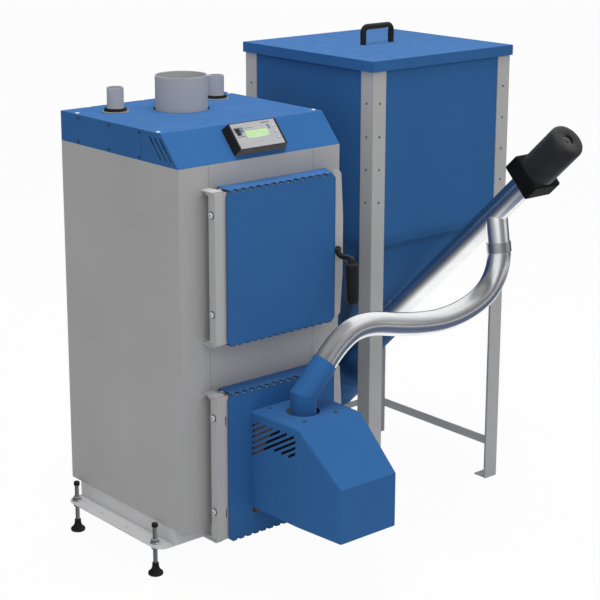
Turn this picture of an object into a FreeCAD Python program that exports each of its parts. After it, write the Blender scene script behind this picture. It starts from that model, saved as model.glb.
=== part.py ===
import FreeCAD, Part
import math
import os
from types import SimpleNamespace

import Sketcher

Vector = FreeCAD.Vector

# Driving sizes in millimetres and degrees
SIZES = {
    # Where the boiler casing's front left corner and the hopper's front left post stand
    "boiler_x": -536,
    "boiler_y": -20.3,
    "hopper_x": 67.5,
    "hopper_y": -30.3,
    # Common stock and clearances
    "sheet": 1.5,
    "running_gap": 0.3,
    "seam": 0.8,
    # Casing and hood
    "casing_width": 500,
    "casing_depth": 490,
    "casing_bottom": 130,
    "casing_height": 906,
    "front_return": 87,
    "panel_flange": 24,
    "front_flange": 58,
    "hood_height": 75,
    "hood_run": 67,
    "hood_slot_length": 67,
    "hood_slot_width": 5,
    "hood_slot_pitch": 20,
    "hood_slot_low_y": 28,
    "hood_nick": 12,
    "hood_nick_pitch": 169,
    "screw_radius": 3,
    "plug_radius": 5,
    # Base frame and levelling feet
    "base_inset": 10,
    "base_front": 51,
    "base_back": 25,
    "base_bottom": 80,
    "base_wall": 3,
    "flange_reach": 48,
    "flange_thick": 4,
    "flange_corner": 30,
    "flange_hole": 3,
    "foot_inset": 18,
    "foot_front": 41,
    "foot_back": 25,
    "spindle_radius": 5.75,
    "spindle_top": 137,
    "cap_height": 10,
    "cap_radius": 8,
    "pad_radius": 19,
    "pad_height": 7,
    "pad_cone": 14,
    "pad_neck": 11,
    "pad_neck_radius": 8.5,
    "nut_radius": 11,
    "nut_height": 11,
    # Boiler vessel
    "vessel_side": 45,
    "vessel_front": 62,
    "vessel_back": 50,
    "vessel_height": 870,
    "vessel_wall": 5,
    "chamber_side": 50,
    "chamber_back": 50,
    "fire_floor": 40,
    "fire_height": 390,
    "shelf": 45,
    "shelf_pass": 85,
    "upper_height": 350,
    "neck_front": 12,
    "neck_wall": 10,
    "neck_left": 110,
    "neck_right": 95,
    "neck_low": 53,
    "neck_top_gap": 35,
    "blanket": 30,
    "baffle_thick": 3,
    "baffle_gap": 10,
    "baffle_depth": 160,
    "baffle_height": 210,
    "pan_side": 25,
    "pan_front": 8,
    "pan_back": 40,
    "pan_height": 40,
    "pan_wall": 2,
    # Flue collar and water pipes
    "flue_offset": 2,
    "flue_back": 168.7,
    "flue_radius": 66.5,
    "flue_wall": 3,
    "flue_top": 1196.7,
    "flue_flange": 95,
    "hood_flue_gap": 4.5,
    "supply_side": 97,
    "return_side": 85,
    "pipe_back": 101,
    "pipe_radius": 21.2,
    "pipe_wall": 3.2,
    "pipe_top": 1172.5,
    "pipe_step": 1,
    "pipe_flange": 30,
    "weld_flange": 6,
    "grommet_radius": 34,
    "grommet_height": 10,
    # Doors
    "upper_door": 606,
    "lower_door": 107,
    "door_height": 373,
    "cover_left": 95,
    "cover_right": 64,
    "cover_front": 58,
    "cover_back": 2,
    "cover_corner": 12.5,
    "cover_below": 4.6,
    "cover_above": 2.5,
    "perforation_left": 24.7,
    "perforation_right": 29.5,
    "perforation_width": 9.5,
    "perforation_depth": 8,
    "perforation_top": 5.5,
    "perforation_bottom": 4.5,
    "strip_front": 52,
    "strip_thick": 3,
    "strip_end": 4,
    "hinge_strip_left": 65,
    "hinge_strip_width": 35,
    "hinge_x": 78,
    "hinge_y": 34,
    "hinge_pin": 4,
    "hinge_ear": 4,
    "hinge_ear_reach": 14,
    "hinge_foot": 14,
    "hinge_side_back": 28,
    "strip_slot_edge": 5.5,
    "strip_slot_width": 4,
    "strip_slot_height": 24,
    "strip_slot_low": 71,
    "strip_slot_high": 309,
    "latch_strip_right": 40,
    "latch_strip_width": 26,
    "latch_strip_bulge": 7,
    "latch_strip_bottom": 7,
    "latch_strip_rise": 6,
    "plate_front": 24,
    "plate_back": 18,
    "lining_gap": 8,
    "lining_depth": 33,
    "seal_width": 8,
    # Door handles
    "handle_right": 53,
    "handle_z": 178,
    "handle_shaft": 6,
    "handle_hub": 9,
    "handle_hub_depth": 14,
    "handle_reach": 56,
    "handle_drop": 13,
    "handle_arm": 6,
    "handle_neck_radius": 9,
    "handle_neck": 19,
    "grip_top_radius": 16,
    "grip_end_radius": 13.5,
    "grip_length": 103,
    "tongue_length": 17,
    "tongue_depth": 6,
    "tongue_back": 14,
    "keeper_gap": 2,
    "keeper_thick": 6,
    "keeper_half": 12,
    # Burner on the lower door
    "burner_offset": 17,
    "burner_z": 193,
    "burner_tube": 55,
    "burner_wall": 5,
    "burner_reach": 198,
    "burner_rear_wall": 2,
    "burner_bottom": 73,
    "burner_height": 247,
    "burner_depth": 313,
    "burner_flat": 174,
    "burner_front_height": 134.5,
    "burner_width": 208,
    "burner_fold_inset": 4,
    "burner_front_inset": 16,
    "burner_bend": 5,
    "burner_plate": 8,
    "burner_plate_drop": 18,
    "burner_screw_left": 52,
    "burner_screw_right": 49,
    "burner_screw_rear": 15,
    "burner_screw_front": 141,
    "igniter_length": 110,
    "grille_slot": 6,
    "grille_pitch": 14.7,
    "fan_radius": 62,
    "fan_depth": 65,
    "fan_motor_radius": 32,
    "fan_motor_depth": 55,
    "impeller_radius": 50,
    "fan_shaft": 4,
    "inlet_y": 140,
    "inlet_offset": 5,
    "inlet_hole": 41,
    "elbow_radius": 32,
    "elbow_wall": 2,
    "elbow_foot": 263,
    "elbow_bend": 360,
    "elbow_run": 69,
    "inlet_neck": 36,
    # Controller on the hood's slope
    "control_x": 172,
    "control_s": 12,
    "control_width": 158,
    "control_height": 75,
    "control_depth": 24,
    "control_draft_left": 5.5,
    "control_draft_right": 7,
    "control_draft_s": 1,
    "face_x": 8.7,
    "face_s": 3,
    "face_width": 134.6,
    "face_height": 69,
    "display_x": 42,
    "display_s": 29,
    "display_width": 70,
    "display_height": 22,
    "rocker_x": 18,
    "rocker_s": 40,
    "rocker_width": 10,
    "rocker_height": 19,
    "button_x": 133,
    "button_s": 20,
    "button_pitch": 17,
    "rocker_pin": 0.6,
    "button_radius": 3,
    # Hopper
    "hopper_width": 502,
    "hopper_depth": 507,
    "hopper_height": 1231.5,
    "post_leg": 45,
    "post_thick": 3,
    "funnel_top": 750,
    "funnel_bottom": 330,
    "funnel_mouth": 129,
    "funnel_front": 337,
    "funnel_back": 54,
    "lid_overhang": 5.5,
    "lid_skirt": 25.5,
    "lid_handle_span": 102,
    "lid_handle_height": 55,
    "lid_handle_bar": 8,
    "lid_handle_bend": 14,
    "rail_height": 24,
    "rail_low": 83.5,
    "foot_plate": 40,
    "post_screw_top": 107.5,
    "post_screw_pitch": 85.3,
    "post_screw_edge": 23.5,
    # Auger, measured along its axis from the trough's end disc
    "auger_y": 438.9,
    "auger_z": 231.6,
    "auger_rise": 44,
    "auger_length": 1023,
    "auger_radius": 30,
    "auger_wall": 2.5,
    "trough_radius": 92,
    "trough_length": 150,
    "auger_lap": 20,
    "sleeve_radius": 48,
    "sleeve_end": 355,
    "drop_at": 883,
    "drop_lean": 9,
    "drop_length": 90,
    "drop_radius": 29,
    "drop_wall": 2.5,
    "screw_shaft": 9,
    "screw_flight": 24,
    "screw_pitch": 50,
    "flight_thick": 3,
    "flight_start": 14,
    "flight_stop": 20,
    "gearbox_width": 94,
    "gearbox_height": 101,
    "gearbox_depth": 51,
    "gearbox_round": 6,
    "motor_radius": 46,
    "motor_length": 127.5,
    "motor_bevel": 8,
    "motor_recess": 13,
    "motor_recess_depth": 8,
    "motor_stub": 5,
    # Feed hose
    "cuff_radius": 31.6,
    "cuff_length": 26,
    "hose_radius": 30,
    "hose_wall": 2.5,
    "hose_gap": 0.6,
    "hose_first_run": 55,
    "hose_last_run": 42,
}

doc = FreeCAD.newDocument("pellet_boiler")
dims = doc.addObject("Spreadsheet::Sheet", "dims")
for row, (alias, number) in enumerate(SIZES.items(), start=1):
    dims.set("A%d" % row, alias)
    dims.set("B%d" % row, str(number))
    dims.setAlias("B%d" % row, alias)
doc.recompute()


class Size:
    """A length or angle that knows its number and its expression in the sheet."""

    def __init__(self, number, text):
        self.number = float(number)
        self.text = text

    def __add__(self, other):
        other = as_size(other)
        return Size(self.number + other.number, "(%s + %s)" % (self.text, other.text))

    def __sub__(self, other):
        other = as_size(other)
        return Size(self.number - other.number, "(%s - %s)" % (self.text, other.text))

    def __mul__(self, other):
        other = as_size(other)
        return Size(self.number * other.number, "(%s * %s)" % (self.text, other.text))

    def __truediv__(self, other):
        other = as_size(other)
        return Size(self.number / other.number, "(%s / %s)" % (self.text, other.text))

    def __radd__(self, other):
        return as_size(other) + self

    def __rsub__(self, other):
        return as_size(other) - self

    def __rmul__(self, other):
        return as_size(other) * self

    def __neg__(self):
        return Size(-self.number, "(0 - %s)" % self.text)


def as_size(value):
    if isinstance(value, Size):
        return value
    return Size(value, "(%s)" % value)


def sine(angle):
    return Size(math.sin(math.radians(angle.number)), "sin(%s)" % angle.text)


def cosine(angle):
    return Size(math.cos(math.radians(angle.number)), "cos(%s)" % angle.text)


def tangent(angle):
    return Size(math.tan(math.radians(angle.number)), "tan(%s)" % angle.text)


def slope_angle(rise, run):
    number = math.degrees(math.atan2(rise.number, run.number))
    return Size(number, "(atan(%s / %s) / 1 deg)" % (rise.text, run.text))


d = SimpleNamespace(**{name: Size(dims.get(name), "dims." + name) for name in SIZES})
X_AXIS = Vector(1, 0, 0)
Y_AXIS = Vector(0, 1, 0)
Z_AXIS = Vector(0, 0, 1)
UPRIGHT = None
ALONG_X = (Y_AXIS, as_size(90))
ALONG_Y = (X_AXIS, as_size(-90))
ORIGIN = (0, 0, 0)


# Document objects bound to the sheet
def bind(obj, prop, size):
    obj.setExpression(prop, as_size(size).text)


def locate(obj, at, turn=UPRIGHT):
    if turn is not None:
        axis, angle = turn
        obj.Placement = FreeCAD.Placement(Vector(0, 0, 0), FreeCAD.Rotation(axis, angle.number))
        if "dims" in angle.text:
            bind(obj, "Placement.Rotation.Angle", angle)
    for name, size in zip("xyz", at):
        bind(obj, "Placement.Base." + name, size)
    return obj


def box(low, high, turn=UPRIGHT, at=None):
    """A block from one corner to the other; with a turn, the corners are in the turned frame."""
    obj = doc.addObject("Part::Box", "block")
    for prop, start, end in zip(("Length", "Width", "Height"), low, high):
        bind(obj, prop, as_size(end) - start)
    return locate(obj, low if at is None else at, turn)


def cylinder(radius, height, at, turn=UPRIGHT):
    obj = doc.addObject("Part::Cylinder", "round")
    bind(obj, "Radius", radius)
    bind(obj, "Height", height)
    return locate(obj, at, turn)


def frustum(bottom, top, low_z, high_z):
    """A block whose bottom and top rectangles (x0, x1, y0, y1) differ."""
    obj = doc.addObject("Part::Wedge", "frustum")
    for prop, size in zip(("Xmin", "Xmax"), bottom[:2]):
        bind(obj, prop, size)
    for prop, size in zip(("X2min", "X2max"), top[:2]):
        bind(obj, prop, size)
    bind(obj, "Zmin", -as_size(bottom[3]))
    bind(obj, "Zmax", -as_size(bottom[2]))
    bind(obj, "Z2min", -as_size(top[3]))
    bind(obj, "Z2max", -as_size(top[2]))
    bind(obj, "Ymin", 0)
    bind(obj, "Ymax", as_size(high_z) - low_z)
    return locate(obj, (0, 0, low_z), (X_AXIS, as_size(90)))


def fuse(shapes):
    obj = doc.addObject("Part::MultiFuse", "joined")
    obj.Shapes = shapes
    obj.Refine = True
    return obj


def group(shapes):
    obj = doc.addObject("Part::Compound", "group")
    obj.Links = shapes
    return obj


def cut(base, tools):
    obj = doc.addObject("Part::Cut", "cut")
    obj.Base = base
    obj.Tool = tools[0] if len(tools) == 1 else group(tools)
    return obj


def tube(radius, bore, height, at, turn=UPRIGHT):
    outer = cylinder(radius, height, ORIGIN)
    inner = cylinder(bore, as_size(height) + 2, (0, 0, -1))
    return locate(cut(outer, [inner]), at, turn)


# Sketched bodies
def body_of(name):
    return doc.addObject("PartDesign::Body", name)


def sketch_on(body, role, offset=None):
    plane = next(item for item in body.Origin.OriginFeatures if item.Role == role)
    sketch = body.newObject("Sketcher::SketchObject", "outline")
    sketch.AttachmentSupport = [(plane, "")]
    sketch.MapMode = "FlatFace"
    if offset is not None:
        bind(sketch, "AttachmentOffset.Base.z", offset)
    return sketch


def fix_point(sketch, geometry, end, point):
    for kind, size in zip(("DistanceX", "DistanceY"), point):
        size = as_size(size)
        index = sketch.addConstraint(Sketcher.Constraint(kind, -1, 1, geometry, end, size.number))
        bind(sketch, "Constraints[%d]" % index, size)


def draw_polygon(sketch, points):
    first = sketch.GeometryCount
    count = len(points)
    corners = [Vector(as_size(x).number, as_size(y).number, 0) for x, y in points]
    for index in range(count):
        sketch.addGeometry(Part.LineSegment(corners[index], corners[(index + 1) % count]), False)
    for index in range(count):
        after = first + (index + 1) % count
        sketch.addConstraint(Sketcher.Constraint("Coincident", first + index, 2, after, 1))
    for index in range(count):
        fix_point(sketch, first + index, 1, points[index])


def draw_circle(sketch, centre, radius):
    middle = Vector(as_size(centre[0]).number, as_size(centre[1]).number, 0)
    index = sketch.addGeometry(Part.Circle(middle, Z_AXIS, radius.number), False)
    fix_point(sketch, index, 3, centre)
    ring = sketch.addConstraint(Sketcher.Constraint("Radius", index, radius.number))
    bind(sketch, "Constraints[%d]" % ring, radius)


def rectangle(x0, x1, y0, y1):
    return [(x0, y0), (x1, y0), (x1, y1), (x0, y1)]


def pad(body, sketch, length, backwards=False):
    feature = body.newObject("PartDesign::Pad", "pad")
    feature.Profile = sketch
    feature.Reversed = backwards
    bind(feature, "Length", length)
    doc.recompute()
    return feature


def pocket(body, sketch, length, backwards=False):
    before = body.Shape.Volume
    feature = body.newObject("PartDesign::Pocket", "pocket")
    feature.Profile = sketch
    feature.Reversed = backwards
    bind(feature, "Length", length)
    doc.recompute()
    if body.Shape.Volume >= before - 1e-6:
        raise RuntimeError("a pocket removed nothing in " + body.Name)
    return feature


def revolve(name, profile):
    """A turned body from (radius, height) points, about its own Z axis."""
    body = body_of(name)
    sketch = sketch_on(body, "XZ_Plane")
    draw_polygon(sketch, profile)
    feature = body.newObject("PartDesign::Revolution", "turned")
    feature.Profile = sketch
    feature.ReferenceAxis = (sketch, ["V_Axis"])
    feature.Angle = 360
    doc.recompute()
    return body


def edge_names(shape, wanted):
    return ["Edge%d" % (i + 1) for i, edge in enumerate(shape.Edges) if wanted(edge)]


def round_edges(body, feature, wanted, radius):
    fillet = body.newObject("PartDesign::Fillet", "bend")
    fillet.Base = (feature, edge_names(feature.Shape, wanted))
    bind(fillet, "Radius", radius)
    doc.recompute()
    return fillet


# Every finished sub-part, in the order it is written
pieces = []


def piece(label, obj, at=None, turn=UPRIGHT):
    obj.Label = label
    if at is not None:
        locate(obj, at, turn)
    pieces.append(obj)
    return obj


BOILER = (d.boiler_x, d.boiler_y, 0)
HOPPER = (d.hopper_x, d.hopper_y, 0)
casing_top = d.casing_bottom + d.casing_height
hood_top = casing_top + d.hood_height
flue_x = d.casing_width / 2 + d.flue_offset
flue_y = d.casing_depth - d.flue_back
pipe_y = d.casing_depth - d.pipe_back
base_end = d.casing_depth - d.base_back
neck_width = d.casing_width - d.neck_left - d.neck_right
neck_height = d.door_height - d.neck_low - d.neck_top_gap
cover_width = d.casing_width - d.cover_left - d.cover_right
latch_strip_end = d.casing_width - d.latch_strip_right
latch_strip_left = latch_strip_end - d.latch_strip_width
handle_x = d.casing_width - d.handle_right
burner_x = d.casing_width / 2 + d.burner_offset
inlet_x = burner_x - d.inlet_offset
pipe_xs = {"supply_pipe": d.supply_side, "return_pipe": d.casing_width - d.return_side}


# Base frame: folded pan with a flange on each side
def build_base():
    body = body_of("base_frame")
    left = d.base_inset
    right = d.casing_width - d.base_inset
    back = base_end
    plate = sketch_on(body, "XY_Plane")
    draw_polygon(plate, rectangle(left - d.flange_reach, right + d.flange_reach, d.base_front, back))
    flange = pad(body, plate, d.flange_thick)
    round_edges(body, flange, lambda edge: abs(edge.tangentAt(edge.FirstParameter).z) > 0.99, d.flange_corner)
    pan = sketch_on(body, "XY_Plane")
    draw_polygon(pan, rectangle(left, right, d.base_front, back))
    pad(body, pan, d.casing_bottom - d.base_bottom)
    hollow = sketch_on(body, "XY_Plane")
    wall = d.base_wall
    draw_polygon(hollow, rectangle(left + wall, right - wall, d.base_front + wall, back - wall))
    pocket(body, hollow, d.casing_bottom - d.base_bottom - wall, backwards=True)
    holes = sketch_on(body, "XY_Plane")
    for x, y in foot_centres().values():
        draw_circle(holes, (x, y), d.spindle_radius + d.running_gap)
    span = back - d.base_front
    for x in (left - d.flange_reach * 0.55, right + d.flange_reach * 0.55):
        for share in (0.4, 0.67):
            draw_circle(holes, (x, d.base_front + span * share), d.flange_hole)
    pocket(body, holes, d.flange_thick, backwards=True)
    piece("base_frame", body, (d.boiler_x, d.boiler_y, d.base_bottom))


def foot_centres():
    left = d.base_inset - d.flange_reach + d.foot_inset
    right = d.casing_width - left
    front = d.base_front + d.foot_front
    back = base_end - d.foot_back
    return {
        "front_left": (left, front),
        "front_right": (right, front),
        "back_left": (left, back),
        "back_right": (right, back),
    }


# Levelling feet: pad, cone, threaded spindle and cap; clamped to the flange by nuts
def build_feet():
    shaft = d.spindle_radius
    cap_low = d.spindle_top - d.cap_height
    profile = [
        (0, 0),
        (d.pad_radius, 0),
        (d.pad_radius, d.pad_height),
        (d.pad_neck_radius, d.pad_height + d.pad_cone),
        (d.pad_neck_radius, d.pad_height + d.pad_cone + d.pad_neck),
        (shaft, d.pad_height + d.pad_cone + d.pad_neck),
        (shaft, cap_low),
        (d.cap_radius, cap_low),
        (d.cap_radius, d.spindle_top),
        (0, d.spindle_top),
    ]
    nuts = []
    for name, (x, y) in foot_centres().items():
        foot = revolve("foot_" + name, profile)
        piece("foot_" + name, foot, (d.boiler_x + x, d.boiler_y + y, 0))
        for low in (d.base_bottom - d.nut_height, d.base_bottom + d.flange_thick):
            nut = doc.addObject("Part::Prism", "nut")
            nut.Polygon = 6
            bind(nut, "Circumradius", d.nut_radius)
            bind(nut, "Height", d.nut_height)
            bore = cylinder(shaft + d.running_gap, d.nut_height + 2, (0, 0, -1))
            nuts.append(locate(cut(nut, [bore]), (x, y, low)))
    piece("foot_nuts", group(nuts), BOILER)


# Casing panels: sheets folded inwards along the bottom and the front corners
def build_casing():
    low = d.casing_bottom
    right = d.casing_width
    back = d.casing_depth
    fold = d.sheet
    corner_fold = 12
    left_walls = [
        box((0, 0, low), (fold, back, casing_top)),
        box((0, 0, low), (d.front_return, fold, casing_top)),
        box((d.front_return - fold, 0, low), (d.front_return, corner_fold, casing_top)),
        box((0, 0, low), (d.panel_flange, back - fold, low + fold)),
    ]
    piece("casing_left", fuse(left_walls), BOILER)
    right_walls = [
        box((right - fold, 0, low), (right, back, casing_top)),
        box((right - d.front_return, 0, low), (right, fold, casing_top)),
        box((right - d.front_return, 0, low), (right - d.front_return + fold, corner_fold, casing_top)),
        box((right - d.panel_flange, 0, low), (right, back - fold, low + fold)),
    ]
    piece("casing_right", fuse(right_walls), BOILER)
    front_left = d.front_return + d.seam
    front_right = right - d.front_return - d.seam
    front_walls = [
        box((front_left, 0, low), (front_right, fold, casing_top)),
        box((front_left, 0, low), (front_left + fold, corner_fold, casing_top)),
        box((front_right - fold, 0, low), (front_right, corner_fold, casing_top)),
        box((front_left, 0, low), (front_right, d.front_flange, low + fold)),
    ]
    openings = []
    for door in (d.lower_door, d.upper_door):
        start = (d.neck_left - 1, -1, door + d.neck_low - 1)
        end = (d.neck_left + neck_width + 1, corner_fold + 1, door + d.neck_low + neck_height + 1)
        openings.append(box(start, end))
    piece("casing_front", cut(fuse(front_walls), openings), BOILER)
    back_flange = d.vessel_back - 5
    back_walls = [
        box((fold, back - fold, low), (right - fold, back, casing_top)),
        box((d.panel_flange + 2, back - back_flange, low), (right - d.panel_flange - 2, back, low + fold)),
    ]
    piece("casing_back", fuse(back_walls), BOILER)


# Hood: folded sheet with a sloped front, holes for the flue and pipes, and side slots
def build_hood():
    wall = d.sheet
    right = d.casing_width
    back = d.casing_depth
    outer = frustum((0, right, 0, back), (0, right, d.hood_run, back), casing_top, hood_top)
    lift = d.hood_run / d.hood_height * wall
    slant = wall * 1.35
    inner = frustum(
        (wall, right - wall, slant - lift, back - wall),
        (wall, right - wall, d.hood_run + slant - lift, back - wall),
        casing_top - wall,
        hood_top - wall,
    )
    tools = [inner, cylinder(d.flue_radius + d.hood_flue_gap, 20, (flue_x, flue_y, hood_top - 10))]
    for x in pipe_xs.values():
        tools.append(cylinder(d.pipe_radius + 5, 20, (x, pipe_y, hood_top - 10)))
    angle = slope_angle(d.hood_height, d.hood_run)
    for index in range(3):
        slot = box((0, 0, 0), (right + 2, d.hood_slot_length, d.hood_slot_width), (X_AXIS, angle), ORIGIN)
        tools.append(locate(slot, (-1, d.hood_slot_low_y + d.hood_slot_pitch * index, casing_top + 11)))
    seam_y = back * 0.294
    for x in (-1, right - wall / 2):
        tools.append(box((x, seam_y, casing_top - 1), (x + wall / 2 + 1, seam_y + d.seam, hood_top + 1)))
    for x in (flue_x - d.hood_nick_pitch, flue_x, flue_x + d.hood_nick_pitch):
        low = (x - d.hood_nick / 2, back - wall * 2, hood_top - wall - 1)
        tools.append(box(low, (x + d.hood_nick / 2, back + 1, hood_top + 1)))
    piece("hood", cut(outer, tools), BOILER)
    screws = []
    rows = [(y, z) for y in (0.84, 0.57, 0.31) for z in (casing_top + 7.5, hood_top - 9)]
    for share, z in rows:
        y = d.casing_depth * share
        screws.append(cylinder(d.screw_radius, 1.5, (-1.5, y, z), ALONG_X))
        screws.append(cylinder(d.screw_radius, 1.5, (right, y, z), ALONG_X))
    piece("casing_screws", group(screws), BOILER)
    plugs = []
    for x in (d.sheet + 8, right - d.sheet - 8):
        for y in (d.hood_run + 21, back - 61):
            plugs.append(cylinder(d.plug_radius, 2, (x, y, hood_top)))
    piece("hood_plugs", group(plugs), BOILER)


# Boiler vessel: outer shell, water space, fire chamber, heat exchanger chamber, door necks
def build_vessel():
    wall = d.vessel_wall
    left = d.vessel_side
    right = d.casing_width - d.vessel_side
    front = d.vessel_front
    back = d.casing_depth - d.vessel_back
    low = d.casing_bottom
    top = low + d.vessel_height
    inner_left = left + d.chamber_side
    inner_right = right - d.chamber_side
    inner_back = back - d.chamber_back
    fire_low = low + d.fire_floor
    fire_top = fire_low + d.fire_height
    upper_low = fire_top + d.shelf
    upper_top = upper_low + d.upper_height

    def chambers(skin):
        """The fire chamber, the pass behind the shelf and the upper chamber, grown by a skin."""
        far = inner_back + skin
        return [
            box((inner_left - skin, front, fire_low - skin), (inner_right + skin, far, fire_top + skin)),
            box((inner_left - skin, inner_back - d.shelf_pass - skin, fire_top - 1),
                (inner_right + skin, far, upper_low + 1)),
            box((inner_left - skin, front, upper_low - skin), (inner_right + skin, far, upper_top + skin)),
        ]

    def necks(skin, start, end):
        shapes = []
        for door in (d.lower_door, d.upper_door):
            near = (d.neck_left + skin, start, door + d.neck_low + skin)
            far_x = d.neck_left + neck_width - skin
            shapes.append(box(near, (far_x, end, door + d.neck_low + neck_height - skin)))
        return shapes

    shell = box((left, front, low), (right, back, top))
    water = box((left + wall, front + wall, low + wall), (right - wall, back - wall, top - wall))
    uptake = cylinder(d.flue_radius + 6, top - upper_top, (flue_x, flue_y, upper_top))
    jacket = fuse([cut(shell, [water]), uptake] + chambers(wall) + necks(as_size(0), -d.neck_front, front + wall))
    fire_front = [
        box((inner_left, front + wall, fire_low), (inner_right, inner_back, fire_top)),
        box((inner_left, inner_back - d.shelf_pass, fire_top - 2), (inner_right, inner_back, upper_low + 2)),
        box((inner_left, front + wall, upper_low), (inner_right, inner_back, upper_top)),
    ]
    holes = fire_front + necks(d.neck_wall, -d.neck_front - 1, front + wall + 1)
    holes.append(cylinder(d.flue_radius - d.flue_wall, top - upper_top + 20, (flue_x, flue_y, upper_top - 10)))
    for x in pipe_xs.values():
        holes.append(cylinder(d.pipe_radius + d.running_gap, wall + 2, (x, pipe_y, top - wall - 1)))
    piece("boiler_vessel", cut(jacket, holes), BOILER)

    blanket = d.blanket
    bed = 3
    wrap = box((left - blanket, front, low + bed), (right + blanket, back + blanket, top + blanket))
    core = box((left, front - 1, low), (right, back, top))
    relief = [core, cylinder(d.flue_flange + 1, blanket + 2, (flue_x, flue_y, top - 1))]
    for x in pipe_xs.values():
        relief.append(cylinder(d.pipe_flange + 1, blanket + 2, (x, pipe_y, top - 1)))
    piece("insulation", cut(wrap, relief), BOILER)

    collar = [
        cylinder(d.flue_radius, d.flue_top - top, ORIGIN),
        cylinder(d.flue_flange, d.weld_flange, ORIGIN),
    ]
    bore = cylinder(d.flue_radius - d.flue_wall, d.flue_top - top + 2, (0, 0, -1))
    piece("flue_collar", cut(fuse(collar), [bore]), (d.boiler_x + flue_x, d.boiler_y + flue_y, top))

    for name, x in pipe_xs.items():
        stub = wall + 3
        length = d.pipe_top - top + stub
        collar_height = hood_top + d.grommet_height + 0.5 - top
        pipe = fuse([
            cylinder(d.pipe_radius, length, ORIGIN),
            cylinder(d.pipe_radius + d.pipe_step, collar_height, (0, 0, stub)),
            cylinder(d.pipe_flange, d.weld_flange, (0, 0, stub)),
        ])
        inside = cylinder(d.pipe_radius - d.pipe_wall, length + 2, (0, 0, -1))
        piece(name, cut(pipe, [inside]), (d.boiler_x + x, d.boiler_y + pipe_y, top - stub))

    ring = d.pipe_radius + d.pipe_step + d.running_gap
    profile = [
        (ring, 0),
        (d.grommet_radius, 0),
        (d.grommet_radius, d.grommet_height * 0.3),
        (d.grommet_radius * 0.86, d.grommet_height * 0.4),
        (ring + 3, d.grommet_height),
        (ring, d.grommet_height),
    ]
    grommets = [locate(revolve("grommet", profile), (x, pipe_y, hood_top)) for x in pipe_xs.values()]
    piece("pipe_grommets", group(grommets), BOILER)

    baffles = []
    for index in range(4):
        x = inner_left + (inner_right - inner_left) * (0.2 * (index + 1))
        half = d.baffle_thick / 2
        far = inner_back - d.shelf_pass - d.baffle_gap
        baffles.append(box((x - half, far - d.baffle_depth, upper_low), (x + half, far, upper_low + d.baffle_height)))
    piece("flue_baffles", group(baffles), BOILER)

    tray_left = inner_left + d.pan_side
    tray_right = inner_right - d.pan_side
    tray_front = d.vessel_front + d.pan_front
    tray_back = inner_back - d.pan_back
    tray = box((tray_left, tray_front, fire_low), (tray_right, tray_back, fire_low + d.pan_height))
    scoop = box(
        (tray_left + d.pan_wall, tray_front + d.pan_wall, fire_low + d.pan_wall),
        (tray_right - d.pan_wall, tray_back - d.pan_wall, fire_low + d.pan_height + 1),
    )
    piece("ash_pan", cut(tray, [scoop]), BOILER)


# Doors: blue cover, steel frame with hinge and latch strips, lining, seal and handle
def build_cover(name, bore):
    body = body_of(name)
    left = d.cover_left
    right = d.cover_left + cover_width
    low = -d.cover_below
    high = d.door_height + d.cover_above
    corner = d.cover_corner
    depth = d.cover_front - d.cover_back
    face = sketch_on(body, "XZ_Plane")
    draw_polygon(face, [
        (left + corner, low),
        (right - corner, low),
        (right, low + corner),
        (right, high - corner),
        (right - corner, high),
        (left + corner, high),
        (left, high - corner),
        (left, low + corner),
    ])
    pad(body, face, d.sheet, backwards=True)
    for level in (low, high - d.sheet):
        flange = sketch_on(body, "XY_Plane", level)
        draw_polygon(flange, [
            (left + corner, 0),
            (right - corner, 0),
            (right + 4, depth * 0.46),
            (right + 15, depth),
            (left + 15, depth),
        ])
        pad(body, flange, d.sheet)
    bends = sketch_on(body, "XZ_Plane")
    first = left + d.perforation_left
    last = first + d.perforation_width
    draw_polygon(bends, rectangle(first, last, low - 1, low + d.perforation_bottom))
    draw_polygon(bends, rectangle(first, last, high - d.perforation_top, high + 1))
    slot = pocket(body, bends, d.perforation_depth)
    row = body.newObject("PartDesign::LinearPattern", "perforations")
    row.Originals = [slot]
    row.Direction = (bends, ["H_Axis"])
    row.Occurrences = 13
    bind(row, "Length", cover_width - d.perforation_left - d.perforation_right - d.perforation_width)
    body.Tip = row
    doc.recompute()
    if bore is not None:
        hole = sketch_on(body, "XZ_Plane")
        draw_circle(hole, (burner_x, d.burner_z), bore)
        pocket(body, hole, d.sheet + 1)
    return body


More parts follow.
